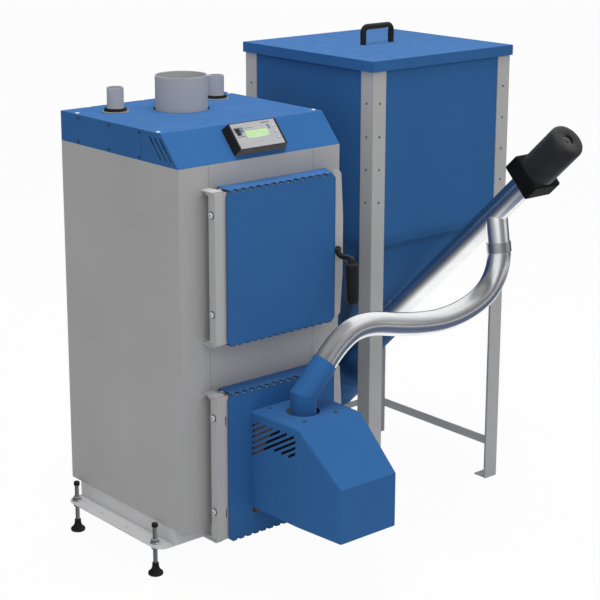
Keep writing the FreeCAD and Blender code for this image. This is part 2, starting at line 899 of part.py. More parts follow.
def build_door_frame(bore):
    thick = d.strip_thick
    high = d.door_height - d.strip_end / 2
    low = d.strip_end
    left = d.hinge_strip_left
    inner = left + d.hinge_strip_width
    web = latch_strip_left
    lug = d.hinge_ear * 1.5
    plate_top = d.door_height + d.cover_above - d.sheet
    shapes = [
        box((inner - thick, -d.plate_front, low), (web + thick, -d.plate_back, high)),
        box((inner, -d.plate_front, d.sheet - d.cover_below), (web, -d.plate_back, plate_top)),
        box((left, -d.strip_front, low), (inner, -d.strip_front + thick, high)),
        box((left, -d.strip_front, low), (left + thick, -d.hinge_side_back, high)),
        box((inner - thick, -d.strip_front, low), (inner, -d.plate_back, high)),
        box((left, -d.strip_front, low), (inner - 8, -d.plate_back, low + lug)),
        box((left, -d.strip_front, high - lug), (inner - 8, -d.plate_back, high)),
        box((web, -d.strip_front, low + 10), (web + thick, -d.plate_back, high)),
    ]
    strip = body_of("latch_strip")
    strip_low = d.latch_strip_bottom
    strip_top = d.door_height + d.latch_strip_rise
    outline = sketch_on(strip, "XZ_Plane")
    draw_polygon(outline, [
        (latch_strip_left, strip_low),
        (latch_strip_end - 6, strip_low),
        (latch_strip_end, strip_low + 6),
        (latch_strip_end + d.latch_strip_bulge, d.door_height * 0.3),
        (latch_strip_end + d.latch_strip_bulge, d.door_height * 0.7),
        (latch_strip_end, strip_top - 10),
        (latch_strip_end - 8, strip_top),
        (latch_strip_left, strip_top),
    ])
    pad(strip, outline, thick)
    shapes.append(locate(strip, (0, thick - d.strip_front, 0)))
    pin = d.hinge_pin + d.running_gap
    holes = [
        cylinder(pin, lug + 2, (d.hinge_x, -d.hinge_y, low - 1)),
        cylinder(pin, lug + 2, (d.hinge_x, -d.hinge_y, high - lug - 1)),
        cylinder(d.handle_shaft + d.running_gap, thick + 2, (handle_x, -d.strip_front - 1, d.handle_z), ALONG_Y),
    ]
    if bore is not None:
        holes.append(cylinder(bore, 20, (burner_x, -d.plate_front - 5, d.burner_z), ALONG_Y))
        slot_right = inner - d.strip_slot_edge
        half = d.strip_slot_height / 2
        for level in (d.strip_slot_low, d.strip_slot_high):
            near = (slot_right - d.strip_slot_width, -d.strip_front - 1, level - half)
            holes.append(box(near, (slot_right, thick + 1 - d.strip_front, level + half)))
    return cut(fuse(shapes), holes)


def build_door_lining(bore):
    edge = d.neck_wall + d.lining_gap
    near = (d.neck_left + edge, -d.plate_back, d.neck_low + edge)
    far_z = d.neck_low + neck_height - edge
    block = box(near, (d.neck_left + neck_width - edge - 2, d.lining_depth - d.plate_back, far_z))
    if bore is None:
        return block
    return cut(block, [cylinder(bore, d.lining_depth + 2, (burner_x, -d.plate_back - 1, d.burner_z), ALONG_Y)])


def build_door_seal():
    outer_edge = 1
    inner_edge = d.seal_width + 1
    near = -d.plate_back
    far = -d.neck_front

    def frame_block(edge, start, end):
        right = d.neck_left + neck_width - edge
        return box((d.neck_left + edge, start, d.neck_low + edge), (right, end, d.neck_low + neck_height - edge))

    return cut(frame_block(outer_edge, near, far), [frame_block(inner_edge, near - 1, far + 1)])


# Handle: shaft with a latch tongue, a hub, an arm that leans out and down, a neck and a tapered grip
def build_handle():
    out = d.handle_reach
    drop = d.handle_drop
    hub = d.handle_hub_depth
    tongue_far = d.tongue_back + d.tongue_depth
    arm_run = out - hub / 2
    arm_angle = slope_angle(drop, arm_run)
    lean_out = (X_AXIS, as_size(90) + arm_angle)
    shapes = [
        cylinder(d.handle_shaft, hub + tongue_far, (0, -hub, 0), ALONG_Y),
        cylinder(d.handle_hub, hub - 1, (0, -hub, 0), ALONG_Y),
        cylinder(d.handle_arm, arm_run / cosine(arm_angle), (0, -hub / 2, 0), lean_out),
        box((0, d.tongue_back, -d.handle_shaft), (d.tongue_length, tongue_far, d.handle_shaft)),
    ]
    grip = doc.addObject("Part::Cone", "grip")
    bind(grip, "Radius1", d.grip_end_radius)
    bind(grip, "Radius2", d.grip_top_radius)
    bind(grip, "Height", d.grip_length)
    grip_top = d.handle_arm - drop - d.handle_neck
    shapes.append(cylinder(d.handle_neck_radius, d.handle_neck, (0, -out, grip_top)))
    shapes.append(locate(grip, (0, -out, grip_top - d.grip_length)))
    return fuse(shapes)


def build_doors():
    bore = d.burner_tube + 2
    for name, base, hole in (("upper", d.upper_door, None), ("lower", d.lower_door, bore)):
        here = (d.boiler_x, d.boiler_y, base)
        cover = build_cover(name + "_door_cover", hole)
        piece(name + "_door_cover", cover, (d.boiler_x, d.boiler_y - d.cover_front, base))
        piece(name + "_door_frame", build_door_frame(hole), here)
        piece(name + "_door_seal", build_door_seal(), here)
        lining = build_door_lining(hole)
        piece(name + "_door_lining", group([lining]), here)
        hold = (d.boiler_x + handle_x, d.boiler_y - d.strip_front, base + d.handle_z)
        piece(name + "_door_handle", build_handle(), hold)

    hinges = []
    keepers = []
    ear = d.hinge_ear
    near = -d.hinge_y - d.hinge_ear_reach
    left = d.hinge_strip_left - d.strip_thick
    right = d.hinge_x + d.hinge_ear_reach
    for base in (d.lower_door, d.upper_door):
        low = base + d.strip_end - d.running_gap
        high = base + d.door_height - d.strip_end / 2 + d.running_gap
        top_foot = high + ear - d.hinge_foot
        for level, pin_low, foot in ((low - ear, low - ear, low - ear), (high, high - ear, top_foot)):
            plates = [
                box((left, near, level), (right, 0, level + ear)),
                box((left, -ear, foot), (right, 0, foot + d.hinge_foot)),
            ]
            if foot.number < d.casing_bottom.number:
                behind = d.sheet + ear
                riser_right = d.front_return - 2 * d.sheet
                plates = [
                    box((left, near, level), (riser_right, behind, level + ear)),
                    box((left, d.sheet, level), (riser_right, behind, d.casing_bottom + 2 * d.hinge_foot)),
                ]
            pin = cylinder(d.hinge_pin, 2 * ear, (d.hinge_x, -d.hinge_y, pin_low))
            hinges.append(fuse(plates + [pin]))
        z = base + d.handle_z
        block_left = handle_x + d.tongue_length + d.keeper_gap
        block_near = -d.strip_front + d.tongue_back / 2
        slot_near = -d.strip_front + d.tongue_back - d.keeper_gap
        slot_far = slot_near + d.tongue_depth + 2 * d.keeper_gap
        thick = d.keeper_thick
        half = d.keeper_half
        block = box((block_left, block_near, z - half), (block_left + thick, 0, z + half))
        slot = box(
            (block_left - 1, slot_near, z - half + d.keeper_gap * 2),
            (block_left + thick - d.keeper_gap, slot_far, z + half - d.keeper_gap * 2),
        )
        keepers.append(cut(block, [slot]))
    piece("door_hinges", group(hinges), BOILER)
    piece("door_keepers", group(keepers), BOILER)


# Burner: flange, tube with inlet neck, igniter, fan, folded cover and inlet elbow
LOWER = (d.boiler_x, d.boiler_y, d.lower_door)
tube_back = -d.inlet_y - d.inlet_neck - d.burner_rear_wall


def build_burner():
    front = -d.cover_front
    side = d.burner_width / 2 - 8
    plate = box(
        (burner_x - side, front - d.burner_plate, d.burner_bottom - d.burner_plate_drop),
        (burner_x + side, front, d.burner_bottom + d.burner_height - 11),
    )
    hole = cylinder(d.burner_tube + 1, d.burner_plate + 2, (burner_x, front - d.burner_plate - 1, d.burner_z), ALONG_Y)
    piece("burner_flange", cut(plate, [hole]), LOWER)

    axis = (burner_x, tube_back, d.burner_z)
    inside = d.burner_tube - d.burner_wall
    length = d.burner_reach - d.cover_front - tube_back
    neck_low = d.burner_z + inside - 14
    neck_top = d.elbow_foot + 25
    barrel = fuse([
        cylinder(d.burner_tube, length, axis, ALONG_Y),
        cylinder(d.burner_tube + 17, d.burner_plate, (burner_x, front - 2 * d.burner_plate, d.burner_z), ALONG_Y),
        cylinder(d.inlet_neck, neck_top - neck_low, (inlet_x, -d.inlet_y, neck_low)),
    ])
    ledge = d.elbow_radius - d.elbow_wall
    hollow = [
        cylinder(inside, length, (burner_x, tube_back + d.burner_wall, d.burner_z), ALONG_Y),
        cylinder(ledge, neck_top - neck_low + 2, (inlet_x, -d.inlet_y, neck_low - 1)),
        cylinder(d.elbow_radius + d.running_gap, 40, (inlet_x, -d.inlet_y, d.elbow_foot)),
        cylinder(d.impeller_radius * 0.5, d.burner_wall + 2, (burner_x, tube_back - 1, d.burner_z), ALONG_Y),
    ]
    piece("burner_tube", cut(barrel, hollow), LOWER)

    low = d.burner_z - inside + 12
    igniter = fuse([
        cylinder(5, d.igniter_length, (burner_x, tube_back + d.burner_wall, low), ALONG_Y),
        cylinder(8, 12, (burner_x, tube_back + d.burner_wall, low), ALONG_Y),
    ])
    piece("igniter", igniter, LOWER)

    fan_back = tube_back - d.fan_depth
    wall = 4
    casing = fuse([
        cylinder(d.fan_radius, d.fan_depth, (burner_x, fan_back, d.burner_z), ALONG_Y),
        cylinder(d.fan_motor_radius, d.fan_motor_depth + 1, (burner_x, fan_back - d.fan_motor_depth, d.burner_z), ALONG_Y),
    ])
    shaft_bore = d.fan_shaft + d.running_gap
    room = [
        cylinder(d.fan_radius - wall, d.fan_depth - 2 * wall, (burner_x, fan_back + wall, d.burner_z), ALONG_Y),
        cylinder(d.impeller_radius * 0.5, 20, (burner_x, tube_back - 10, d.burner_z), ALONG_Y),
        cylinder(shaft_bore, 30, (burner_x, fan_back - 20, d.burner_z), ALONG_Y),
    ]
    for index in range(6):
        turn = (Y_AXIS, as_size(60 * index))
        vent = box((-5, -1, 18), (5, wall + 2, 45))
        vent_holder = locate(group([vent]), (burner_x, fan_back, d.burner_z), turn)
        room.append(vent_holder)
    piece("fan_housing", cut(casing, room), LOWER)

    blade_depth = d.fan_depth - 2 * wall - 16
    wheel = [
        cylinder(d.impeller_radius, 3, ORIGIN, ALONG_Y),
        cylinder(12, blade_depth, ORIGIN, ALONG_Y),
        cylinder(d.fan_shaft, 24, (0, -20, 0), ALONG_Y),
    ]
    for index in range(8):
        blade = box((10, 1, -1), (d.impeller_radius - 2, blade_depth, 1))
        wheel.append(locate(group([blade]), ORIGIN, (Y_AXIS, as_size(45 * index))))
    hub = (d.boiler_x + burner_x, d.boiler_y + fan_back + wall + 6, d.lower_door + d.burner_z)
    piece("fan_impeller", fuse(wheel), hub)

    build_burner_cover()

    bend = d.elbow_bend
    spine = doc.addObject("Sketcher::SketchObject", "elbow_path")
    spine.Placement = FreeCAD.Placement(Vector(0, 0, 0), FreeCAD.Rotation(X_AXIS, 90))
    path = [(0, d.elbow_foot), (0, bend), (d.elbow_run, bend + d.elbow_run)]
    for start, end in zip(path, path[1:]):
        points = [Vector(as_size(a).number, as_size(b).number, 0) for a, b in (start, end)]
        spine.addGeometry(Part.LineSegment(*points), False)
    spine.addConstraint(Sketcher.Constraint("Coincident", 0, 2, 1, 1))
    fix_point(spine, 0, 1, path[0])
    fix_point(spine, 0, 2, path[1])
    fix_point(spine, 1, 2, path[2])
    sweeps = []
    for radius in (d.elbow_radius, d.elbow_radius - d.elbow_wall):
        ring = doc.addObject("Part::Circle", "elbow_ring")
        bind(ring, "Radius", radius)
        locate(ring, (0, 0, d.elbow_foot))
        sweep = doc.addObject("Part::Sweep", "elbow_sweep")
        sweep.Sections = [ring]
        sweep.Spine = (spine, ["Edge1", "Edge2"])
        sweep.Solid = True
        sweep.Transition = "Right corner"
        sweeps.append(sweep)
    mouth = (d.boiler_x + inlet_x, d.boiler_y - d.inlet_y, d.lower_door)
    piece("inlet_elbow", cut(sweeps[0], [sweeps[1]]), mouth)

    screws = []
    top = d.burner_bottom + d.burner_height
    left = burner_x - d.burner_screw_left
    right = burner_x + d.burner_screw_right
    for x, y in ((left, d.burner_screw_rear), (left, d.burner_screw_front), (right, d.burner_screw_front)):
        screws.append(cylinder(5, 2, (x, front - y, top)))
    piece("burner_screws", group(screws), LOWER)


def burner_block(name, skin):
    """The burner cover's outside, or its inside once a skin is taken off."""
    body = body_of(name)
    width = d.burner_width
    flat = d.burner_flat
    front = skin - d.burner_depth
    top = d.burner_height - skin
    slope = slope_angle(d.burner_height - d.burner_front_height, d.burner_depth - flat)
    slant = skin / cosine(slope)
    fold = (slant - skin) / tangent(slope) - flat
    brow = d.burner_front_height + skin * tangent(slope) - slant
    side = sketch_on(body, "YZ_Plane")
    draw_polygon(side, [(skin, -skin), (skin, top), (fold, top), (front, brow), (front, -skin)])
    pad(body, side, width)
    fold_in = skin + d.burner_fold_inset
    front_in = skin + d.burner_front_inset
    plan = sketch_on(body, "XY_Plane", -skin)
    draw_polygon(plan, [
        (-1, skin),
        (skin, skin),
        (fold_in, -flat),
        (front_in, front),
        (front_in, front - 1),
        (-1, front - 1),
    ])
    draw_polygon(plan, [
        (width + 1, skin),
        (width - skin, skin),
        (width - fold_in, -flat),
        (width - front_in, front),
        (width - front_in, front - 1),
        (width + 1, front - 1),
    ])
    tapered = pocket(body, plan, d.burner_height + 2, backwards=True)

    def outer_bend(edge):
        middle = edge.CenterOfMass
        along = edge.tangentAt(edge.FirstParameter)
        side_fold = abs(along.z) > 0.99 and middle.y > front.number + 1
        return abs(along.x) < 0.9 and not side_fold and middle.z > 1 and middle.y < -1

    round_edges(body, tapered, outer_bend, d.burner_bend - skin)
    return body


def build_burner_cover():
    body = burner_block("burner_cover_outside", as_size(0))
    width = d.burner_width
    high = d.burner_height
    middle = sketch_on(body, "XY_Plane", high + 1)
    draw_circle(middle, (width / 2 - d.inlet_offset, d.cover_front - d.inlet_y), d.inlet_hole)
    pocket(body, middle, d.sheet + 4)

    grille = sketch_on(body, "YZ_Plane", width / 2)
    slant = tangent(as_size(30))
    slot = d.grille_slot / cosine(as_size(30))
    front_end = -164
    top_end = high - 21
    step_z = high - 77.5
    for index in range(9):
        back_y = as_size(-6)
        low_z = high - 36 - d.grille_pitch * index
        if index > 5:
            back_y = back_y - (step_z - low_z) / slant
            low_z = step_z
        reach = back_y - front_end
        high_z = low_z + reach * slant
        if high_z.number > top_end.number:
            reach = (top_end - low_z) / slant
            high_z = top_end
        tip_y = back_y - reach
        draw_polygon(grille, [
            (back_y, low_z - slot / 2),
            (back_y, low_z + slot / 2),
            (tip_y, high_z + slot / 2),
            (tip_y, high_z - slot / 2),
        ])
    pocket(body, grille, width)
    left = d.boiler_x + burner_x - width / 2
    cover = cut(body, [burner_block("burner_cover_inside", d.sheet)])
    piece("burner_cover", cover, (left, d.boiler_y - d.cover_front, d.lower_door + d.burner_bottom))


# Controller on the slope: box, face plate, display, rocker switch and push buttons
def build_controller():
    angle = slope_angle(d.hood_height, d.hood_run)
    tilt = (X_AXIS, angle)

    def on_slope(x, s, lift):
        y = d.boiler_y + s * cosine(angle) - lift * sine(angle)
        z = casing_top + s * sine(angle) + lift * cosine(angle)
        return (d.boiler_x + x, y, z)

    here = on_slope(d.control_x, d.control_s, as_size(0))
    depth = d.control_depth
    thick = d.sheet
    rocker_room = 9
    draft = d.control_draft_s
    crown = (d.control_draft_left, d.control_width - d.control_draft_right, draft, d.control_height - draft)
    shell = frustum((0, d.control_width, 0, d.control_height), crown, 0, depth)
    rocker_low = (d.rocker_x - 0.5, d.rocker_s - 0.5, depth - rocker_room)
    rocker_high = (d.rocker_x + d.rocker_width + 0.5, d.rocker_s + d.rocker_height + 0.5, depth + 1)
    case_holes = [box(rocker_low, rocker_high)]
    face_far = (d.face_x + d.face_width, d.face_s + d.face_height, depth + thick)
    face = box((d.face_x, d.face_s, depth), face_far)
    face_low = (d.rocker_x - 0.5, d.rocker_s - 0.5, depth - 1)
    face_high = (d.rocker_x + d.rocker_width + 0.5, d.rocker_s + d.rocker_height + 0.5, depth + thick + 1)
    face_holes = [box(face_low, face_high)]
    screen_low = (d.display_x, d.display_s, depth)
    screen_high = (d.display_x + d.display_width, d.display_s + d.display_height, depth + thick)
    face_holes.append(box(screen_low, screen_high))
    travel = 1
    buttons = []
    for index in range(3):
        s = d.button_s + d.button_pitch * index
        bore = d.button_radius + d.running_gap
        case_holes.append(cylinder(bore, 8, (d.button_x, s, depth - 4)))
        face_holes.append(cylinder(bore, thick + 2, (d.button_x, s, depth - 1)))
        start = on_slope(d.control_x + d.button_x, d.control_s + s, depth - 4 + travel + 0.5)
        buttons.append((cylinder(d.button_radius, 4 + thick, ORIGIN), start))
    axle_at = (d.rocker_x - 2, d.rocker_s + d.rocker_height / 2, depth - 2)
    axle = cylinder(d.rocker_pin, d.rocker_width + 4, axle_at, ALONG_X)
    piece("controller_box", fuse([cut(shell, case_holes), axle]), here, tilt)
    piece("controller_face", cut(face, face_holes), here, tilt)
    screen = box(ORIGIN, (d.display_width, d.display_height, thick - 0.5))
    piece("display", screen, on_slope(d.control_x + d.display_x, d.control_s + d.display_s, depth), tilt)

    half = d.rocker_height / 2
    rocker = body_of("rocker")
    outline = sketch_on(rocker, "YZ_Plane")
    draw_polygon(outline, [(-half + 0.5, -2), (0, -3.5), (half - 0.5, -2), (half - 0.5, 3), (0, 1.8), (-half + 0.5, 3)])
    draw_circle(outline, (0, 0), d.rocker_pin + d.running_gap)
    pad(rocker, outline, d.rocker_width)
    pivot = on_slope(d.control_x + d.rocker_x, d.control_s + d.rocker_s + half, depth - 2)
    piece("rocker", rocker, pivot, tilt)
    for index, (button, start) in enumerate(buttons, start=1):
        piece("button_%d" % index, button, start, tilt)


# Hopper: posts, rails, bin with funnel and trough, lid with its handle
lean = (X_AXIS, as_size(90) - d.auger_rise)
hopper_middle = d.hopper_width / 2


def along_auger(distance):
    """A point of the auger's axis, in the hopper's frame."""
    y = d.auger_y - distance * cosine(d.auger_rise)
    z = d.auger_z + distance * sine(d.auger_rise)
    return (hopper_middle, y, z)


def in_world(point):
    return (d.hopper_x + point[0], d.hopper_y + point[1], point[2])


def build_hopper():
    wide = d.hopper_width
    deep = d.hopper_depth
    high = d.hopper_height
    leg = d.post_leg
    thick = d.post_thick
    posts = []
    plates = []
    screws = []
    for right in (False, True):
        for back in (False, True):
            x0, x1 = (wide - leg, wide) if right else (as_size(0), leg)
            y0, y1 = (deep - leg, deep) if back else (as_size(0), leg)
            flat_x = (wide - thick, wide) if right else (as_size(0), thick)
            flat_y = (deep - thick, deep) if back else (as_size(0), thick)
            posts.append(fuse([
                box((x0, flat_y[0], 0), (x1, flat_y[1], high)),
                box((flat_x[0], y0, 0), (flat_x[1], y1, high)),
            ]))
            reach = d.foot_plate
            plate_x = (wide - thick - reach, wide - thick) if right else (thick, thick + reach)
            plate_y = (deep - thick - reach, deep - thick) if back else (thick, thick + reach)
            plates.append(box((plate_x[0], plate_y[0], 0), (plate_x[1], plate_y[1], 4)))
            edge = d.post_screw_edge
            for index in range(4):
                z = high - d.post_screw_top - d.post_screw_pitch * index
                x = wide - edge if right else edge
                y = deep - edge if back else edge
                screws.append(cylinder(d.screw_radius, 1.5, (x, deep if back else as_size(-1.5), z), ALONG_Y))
                screws.append(cylinder(d.screw_radius, 1.5, (wide if right else as_size(-1.5), y, z), ALONG_X))
    piece("hopper_posts", group(posts), HOPPER)
    piece("hopper_screws", group(screws), HOPPER)
    rail_top = d.rail_low + d.rail_height
    rails = [
        box((thick, thick, d.rail_low), (2 * thick, deep - thick, rail_top)),
        box((wide - 2 * thick, thick, d.rail_low), (wide - thick, deep - thick, rail_top)),
        box((2 * thick, deep - 2 * thick, d.rail_low + 5), (wide - 2 * thick, deep - thick, rail_top)),
    ]
    piece("hopper_rails", group(rails + plates), HOPPER)

    def bin_solid(skin, drop):
        """The bin, its funnel and the trough along the auger, shrunk by a skin."""
        side = thick + skin
        upper = (side, wide - side, side, deep - side)
        half = d.funnel_mouth / 2 - skin
        lower = (
            hopper_middle - half,
            hopper_middle + half,
            thick + d.funnel_front + skin * 2,
            deep - d.funnel_back - skin,
        )
        return [
            box((side, side, d.funnel_top), (wide - side, deep - side, high + drop)),
            frustum(lower, upper, d.funnel_bottom + skin, d.funnel_top),
            locate(cylinder(d.trough_radius - skin, d.trough_length - 2 * skin, ORIGIN), along_auger(skin), lean),
            locate(cylinder(d.sleeve_radius - skin, d.sleeve_end - 2 * skin, ORIGIN), along_auger(skin), lean),
        ]

    shaft_hole = cylinder(d.screw_shaft + d.running_gap, 8, ORIGIN)
    tube_hole = cylinder(d.auger_radius + d.running_gap, 20, ORIGIN)
    hollow = bin_solid(d.sheet, as_size(1))
    hollow.append(locate(shaft_hole, along_auger(as_size(-4)), lean))
    hollow.append(locate(tube_hole, along_auger(d.sleeve_end - 10), lean))
    piece("hopper_bin", cut(fuse(bin_solid(as_size(0), as_size(0))), [fuse(hollow)]), HOPPER)

    over = d.lid_overhang
    wall = d.sheet
    lid_low = high - d.lid_skirt
    lid = box((-over, -over, lid_low), (wide + over, deep + over, high + wall))
    room = box((wall - over, wall - over, lid_low - 1), (wide + over - wall, deep + over - wall, high))
    piece("hopper_lid", cut(lid, [room]), HOPPER)

    span = d.lid_handle_span / 2
    bar = d.lid_handle_bar
    bend = d.lid_handle_bend
    crown = d.lid_handle_height - bar
    bow = []
    for side, turn in ((1, (X_AXIS, as_size(90))), (-1, (Vector(0, 1, 1), as_size(180)))):
        bow.append(cylinder(bar, crown - bend, (span * side, 0, 0)))
        elbow = doc.addObject("Part::Torus", "bow_corner")
        bind(elbow, "Radius1", bend)
        bind(elbow, "Radius2", bar)
        elbow.Angle3 = 90
        bow.append(locate(elbow, ((span - bend) * side, 0, crown - bend), turn))
    bow.append(cylinder(bar, (span - bend) * 2, (bend - span, 0, crown), ALONG_X))
    centre = (d.hopper_x + hopper_middle, d.hopper_y + deep / 2, high + wall)
    piece("lid_handle", fuse(bow), centre)


# Auger: tube with a drop branch, screw, gearbox and motor on one inclined axis
def build_auger():
    inside = d.auger_radius - d.auger_wall
    start = d.trough_length - d.auger_lap
    length = d.auger_length - start
    drop_turn = (X_AXIS, as_size(90) + d.auger_rise - d.drop_lean)
    branch_at = (0, 0, d.drop_at - start)
    tube_body = fuse([
        cylinder(d.auger_radius, length, ORIGIN),
        cylinder(d.drop_radius, d.drop_length, branch_at, drop_turn),
    ])
    bores = [
        cylinder(inside, length + 2, (0, 0, -1)),
        cylinder(d.drop_radius - d.drop_wall, d.drop_length + 1, branch_at, drop_turn),
    ]
    piece("auger_tube", cut(tube_body, bores), in_world(along_auger(start)), lean)

    shaft_length = d.auger_length + d.gearbox_depth * 0.6
    flight_length = d.drop_at - d.flight_stop
    helix = doc.addObject("Part::Helix", "flight_path")
    bind(helix, "Pitch", d.screw_pitch)
    bind(helix, "Height", flight_length)
    bind(helix, "Radius", d.screw_flight)
    section = doc.addObject("Sketcher::SketchObject", "flight_section")
    section.Placement = FreeCAD.Placement(Vector(0, 0, 0), FreeCAD.Rotation(X_AXIS, 90))
    draw_polygon(section, rectangle(d.screw_shaft - 1, d.screw_flight, -d.flight_thick / 2, d.flight_thick / 2))
    flight = doc.addObject("Part::Sweep", "flight")
    flight.Sections = [section]
    flight.Spine = (helix, [])
    flight.Solid = True
    flight.Frenet = True
    locate(flight, (0, 0, d.flight_start))
    screw = fuse([cylinder(d.screw_shaft, shaft_length, ORIGIN), flight])
    piece("auger_screw", screw, in_world(along_auger(as_size(-2))), lean)

    box_body = body_of("gearbox")
    outline = sketch_on(box_body, "XY_Plane")
    half_wide = d.gearbox_width / 2
    half_high = d.gearbox_height / 2
    draw_polygon(outline, rectangle(-half_wide, half_wide, -half_high, half_high))
    block = pad(box_body, outline, d.gearbox_depth)
    round_edges(box_body, block, lambda edge: True, d.gearbox_round)
    bore = sketch_on(box_body, "XY_Plane")
    draw_circle(bore, (0, 0), d.screw_shaft + d.running_gap)
    pocket(box_body, bore, d.gearbox_depth * 0.7, backwards=True)
    piece("gearbox", box_body, in_world(along_auger(d.auger_length)), lean)

    bevel = d.motor_bevel
    floor = d.motor_length - d.motor_recess_depth
    motor = revolve("auger_motor", [
        (0, 0),
        (d.motor_radius, 0),
        (d.motor_radius, d.motor_length - bevel),
        (d.motor_radius - bevel, d.motor_length),
        (d.motor_recess, d.motor_length),
        (d.motor_recess, floor),
        (d.motor_stub, floor),
        (d.motor_stub, floor + d.motor_recess_depth * 0.9),
        (0, floor + d.motor_recess_depth * 0.9),
    ])
    piece("auger_motor", motor, in_world(along_auger(d.auger_length + d.gearbox_depth)), lean)


# Feed hose: straight runs joined by tangent arcs, from the elbow's mouth up to the drop branch
def drop_axis(distance):
    """A point down the drop branch from the auger's axis, in the hopper's frame."""
    top = along_auger(d.drop_at)
    y = top[1] - distance * sine(d.drop_lean)
    z = top[2] - distance * cosine(d.drop_lean)
    return (top[0], y, z)


def numbers(point):
    return Vector(*[as_size(size).number for size in point])


def hose_route():
    lift = math.sqrt(0.5)
    mouth = numbers((
        d.boiler_x + inlet_x + d.elbow_run,
        d.boiler_y - d.inlet_y,
        d.lower_door + d.elbow_bend + d.elbow_run,
    ))
    out = Vector(lift, 0, lift)
    start = mouth + out * d.hose_gap.number
    end = numbers(in_world(drop_axis(d.drop_length + d.hose_gap)))
    below = numbers(in_world(drop_axis(d.drop_length + d.hose_gap + d.hose_last_run)))
    first_bend = start + out * d.hose_first_run.number
    across = below - first_bend
    crown = first_bend + Vector(across.x * 0.16, across.y * 0.1, 40)
    sag_one = first_bend + Vector(across.x * 0.44, across.y * 0.35, 15)
    sag_two = first_bend + Vector(across.x * 0.70, across.y * 0.62, 12)
    climb = first_bend + Vector(across.x * 0.92, across.y * 0.88, 60)
    return [start, first_bend, crown, sag_one, sag_two, climb, below, end]


def rounded_path(points):
    """Straight runs with an arc tangent to both runs at every corner."""
    edges = []
    radii = []
    last = points[0]
    for before, corner, after in zip(points, points[1:], points[2:]):
        toward = (before - corner).normalize()
        onward = (after - corner).normalize()
        turn = math.pi - toward.getAngle(onward)
        shorter = min((before - corner).Length, (after - corner).Length)
        radius = 0.45 * shorter / math.tan(turn / 2)
        setback = 0.45 * shorter
        bisector = (toward + onward).normalize()
        centre = corner + bisector * math.hypot(radius, setback)
        arc_start = corner + toward * setback
        arc_end = corner + onward * setback
        middle = centre - bisector * radius
        edges.append(Part.LineSegment(last, arc_start).toShape())
        edges.append(Part.Arc(arc_start, middle, arc_end).toShape())
        radii.append(round(radius, 1))
        last = arc_end
    edges.append(Part.LineSegment(last, points[-1]).toShape())
    return Part.Wire(edges), radii


def build_hose():
    points = hose_route()
    path, radii = rounded_path(points)
    direction = (points[1] - points[0]).normalize()
    skins = []
    for radius in (d.hose_radius, d.hose_radius - d.hose_wall):
        ring = Part.Wire([Part.Circle(points[0], direction, radius.number).toShape()])
        skins.append(path.makePipeShell([ring], True, False))
    hose = doc.addObject("Part::Feature", "feed_hose")
    hose.Shape = skins[0].cut(skins[1])
    section = math.pi * (d.hose_radius.number ** 2 - (d.hose_radius - d.hose_wall).number ** 2)
    print("hose bends", radii, "length", round(path.Length, 1))
    print("hose volume over section times length", round(hose.Shape.Volume / (section * path.Length), 4))
    print("hose points", [tuple(round(value, 1) for value in point) for point in points])
    piece("feed_hose", hose)

    middle = d.drop_length
    half = d.cuff_length / 2
    bore = d.auger_radius + d.running_gap
    cuff = tube(d.cuff_radius, bore, d.cuff_length, ORIGIN)
    turn = (X_AXIS, -d.drop_lean)
    piece("hose_cuff", cuff, in_world(drop_axis(middle + half)), turn)


build_base()
build_feet()
build_casing()
build_hood()
build_vessel()
build_doors()
build_burner()
build_controller()
build_hopper()
build_auger()
build_hose()
doc.recompute()

# Every object is sound before anything is written
for obj in doc.Objects:
    if "Invalid" in obj.State or "Error" in obj.State:
        raise RuntimeError("%s (%s) did not build: %s" % (obj.Name, obj.Label, obj.State))
os.makedirs("parts", exist_ok=True)
whole = FreeCAD.BoundBox()
for obj in pieces:
    shape = obj.Shape
    if shape.isNull() or not shape.isValid():
        raise RuntimeError("bad shape in " + obj.Label)
    whole.add(shape.BoundBox)
    shape.exportStep(os.path.join("parts", obj.Label + ".step"))
print(len(pieces), "pieces")
print("bounds", whole)
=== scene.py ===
import math

import bmesh
import bpy
from mathutils import Matrix, Vector, noise as field


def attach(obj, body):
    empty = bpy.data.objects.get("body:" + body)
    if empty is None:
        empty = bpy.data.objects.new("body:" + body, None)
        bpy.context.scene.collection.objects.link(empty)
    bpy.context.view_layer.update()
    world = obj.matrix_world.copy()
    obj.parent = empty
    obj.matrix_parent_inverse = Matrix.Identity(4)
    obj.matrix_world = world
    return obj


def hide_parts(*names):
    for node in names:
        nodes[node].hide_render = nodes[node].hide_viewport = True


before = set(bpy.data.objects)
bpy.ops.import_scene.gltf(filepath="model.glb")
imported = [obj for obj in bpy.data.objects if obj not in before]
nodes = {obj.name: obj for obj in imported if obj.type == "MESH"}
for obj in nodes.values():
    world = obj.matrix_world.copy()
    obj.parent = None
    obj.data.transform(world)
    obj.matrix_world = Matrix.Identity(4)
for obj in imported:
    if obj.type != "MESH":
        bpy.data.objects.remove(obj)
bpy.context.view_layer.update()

scene = bpy.context.scene
scene.view_settings.view_transform = "Standard"

# The casing's and the hopper's front left corners on the floor, in metres
MM = 0.001
BOILER = Vector((-0.536, -0.0203, 0.0))
HOPPER = Vector((0.0675, -0.0303, 0.0))

# Main sizes of the object, in millimetres
CASING_WIDTH = 500
CASING_DEPTH = 490
HOOD_BOTTOM = 1036
HOOD_TOP = 1111
HOOD_SLOPE = (67, 75)
HOPPER_WIDTH = 502
HOPPER_DEPTH = 507
DOOR_BASES = {"upper": 606, "lower": 107}
HANDLE_PIVOT = (447, -52, 178)
AUGER_START = (251, 438.9, 231.6)
AUGER_LENGTH = 1023
AUGER_RISE = math.radians(44)
GEARBOX_LENGTH = 51

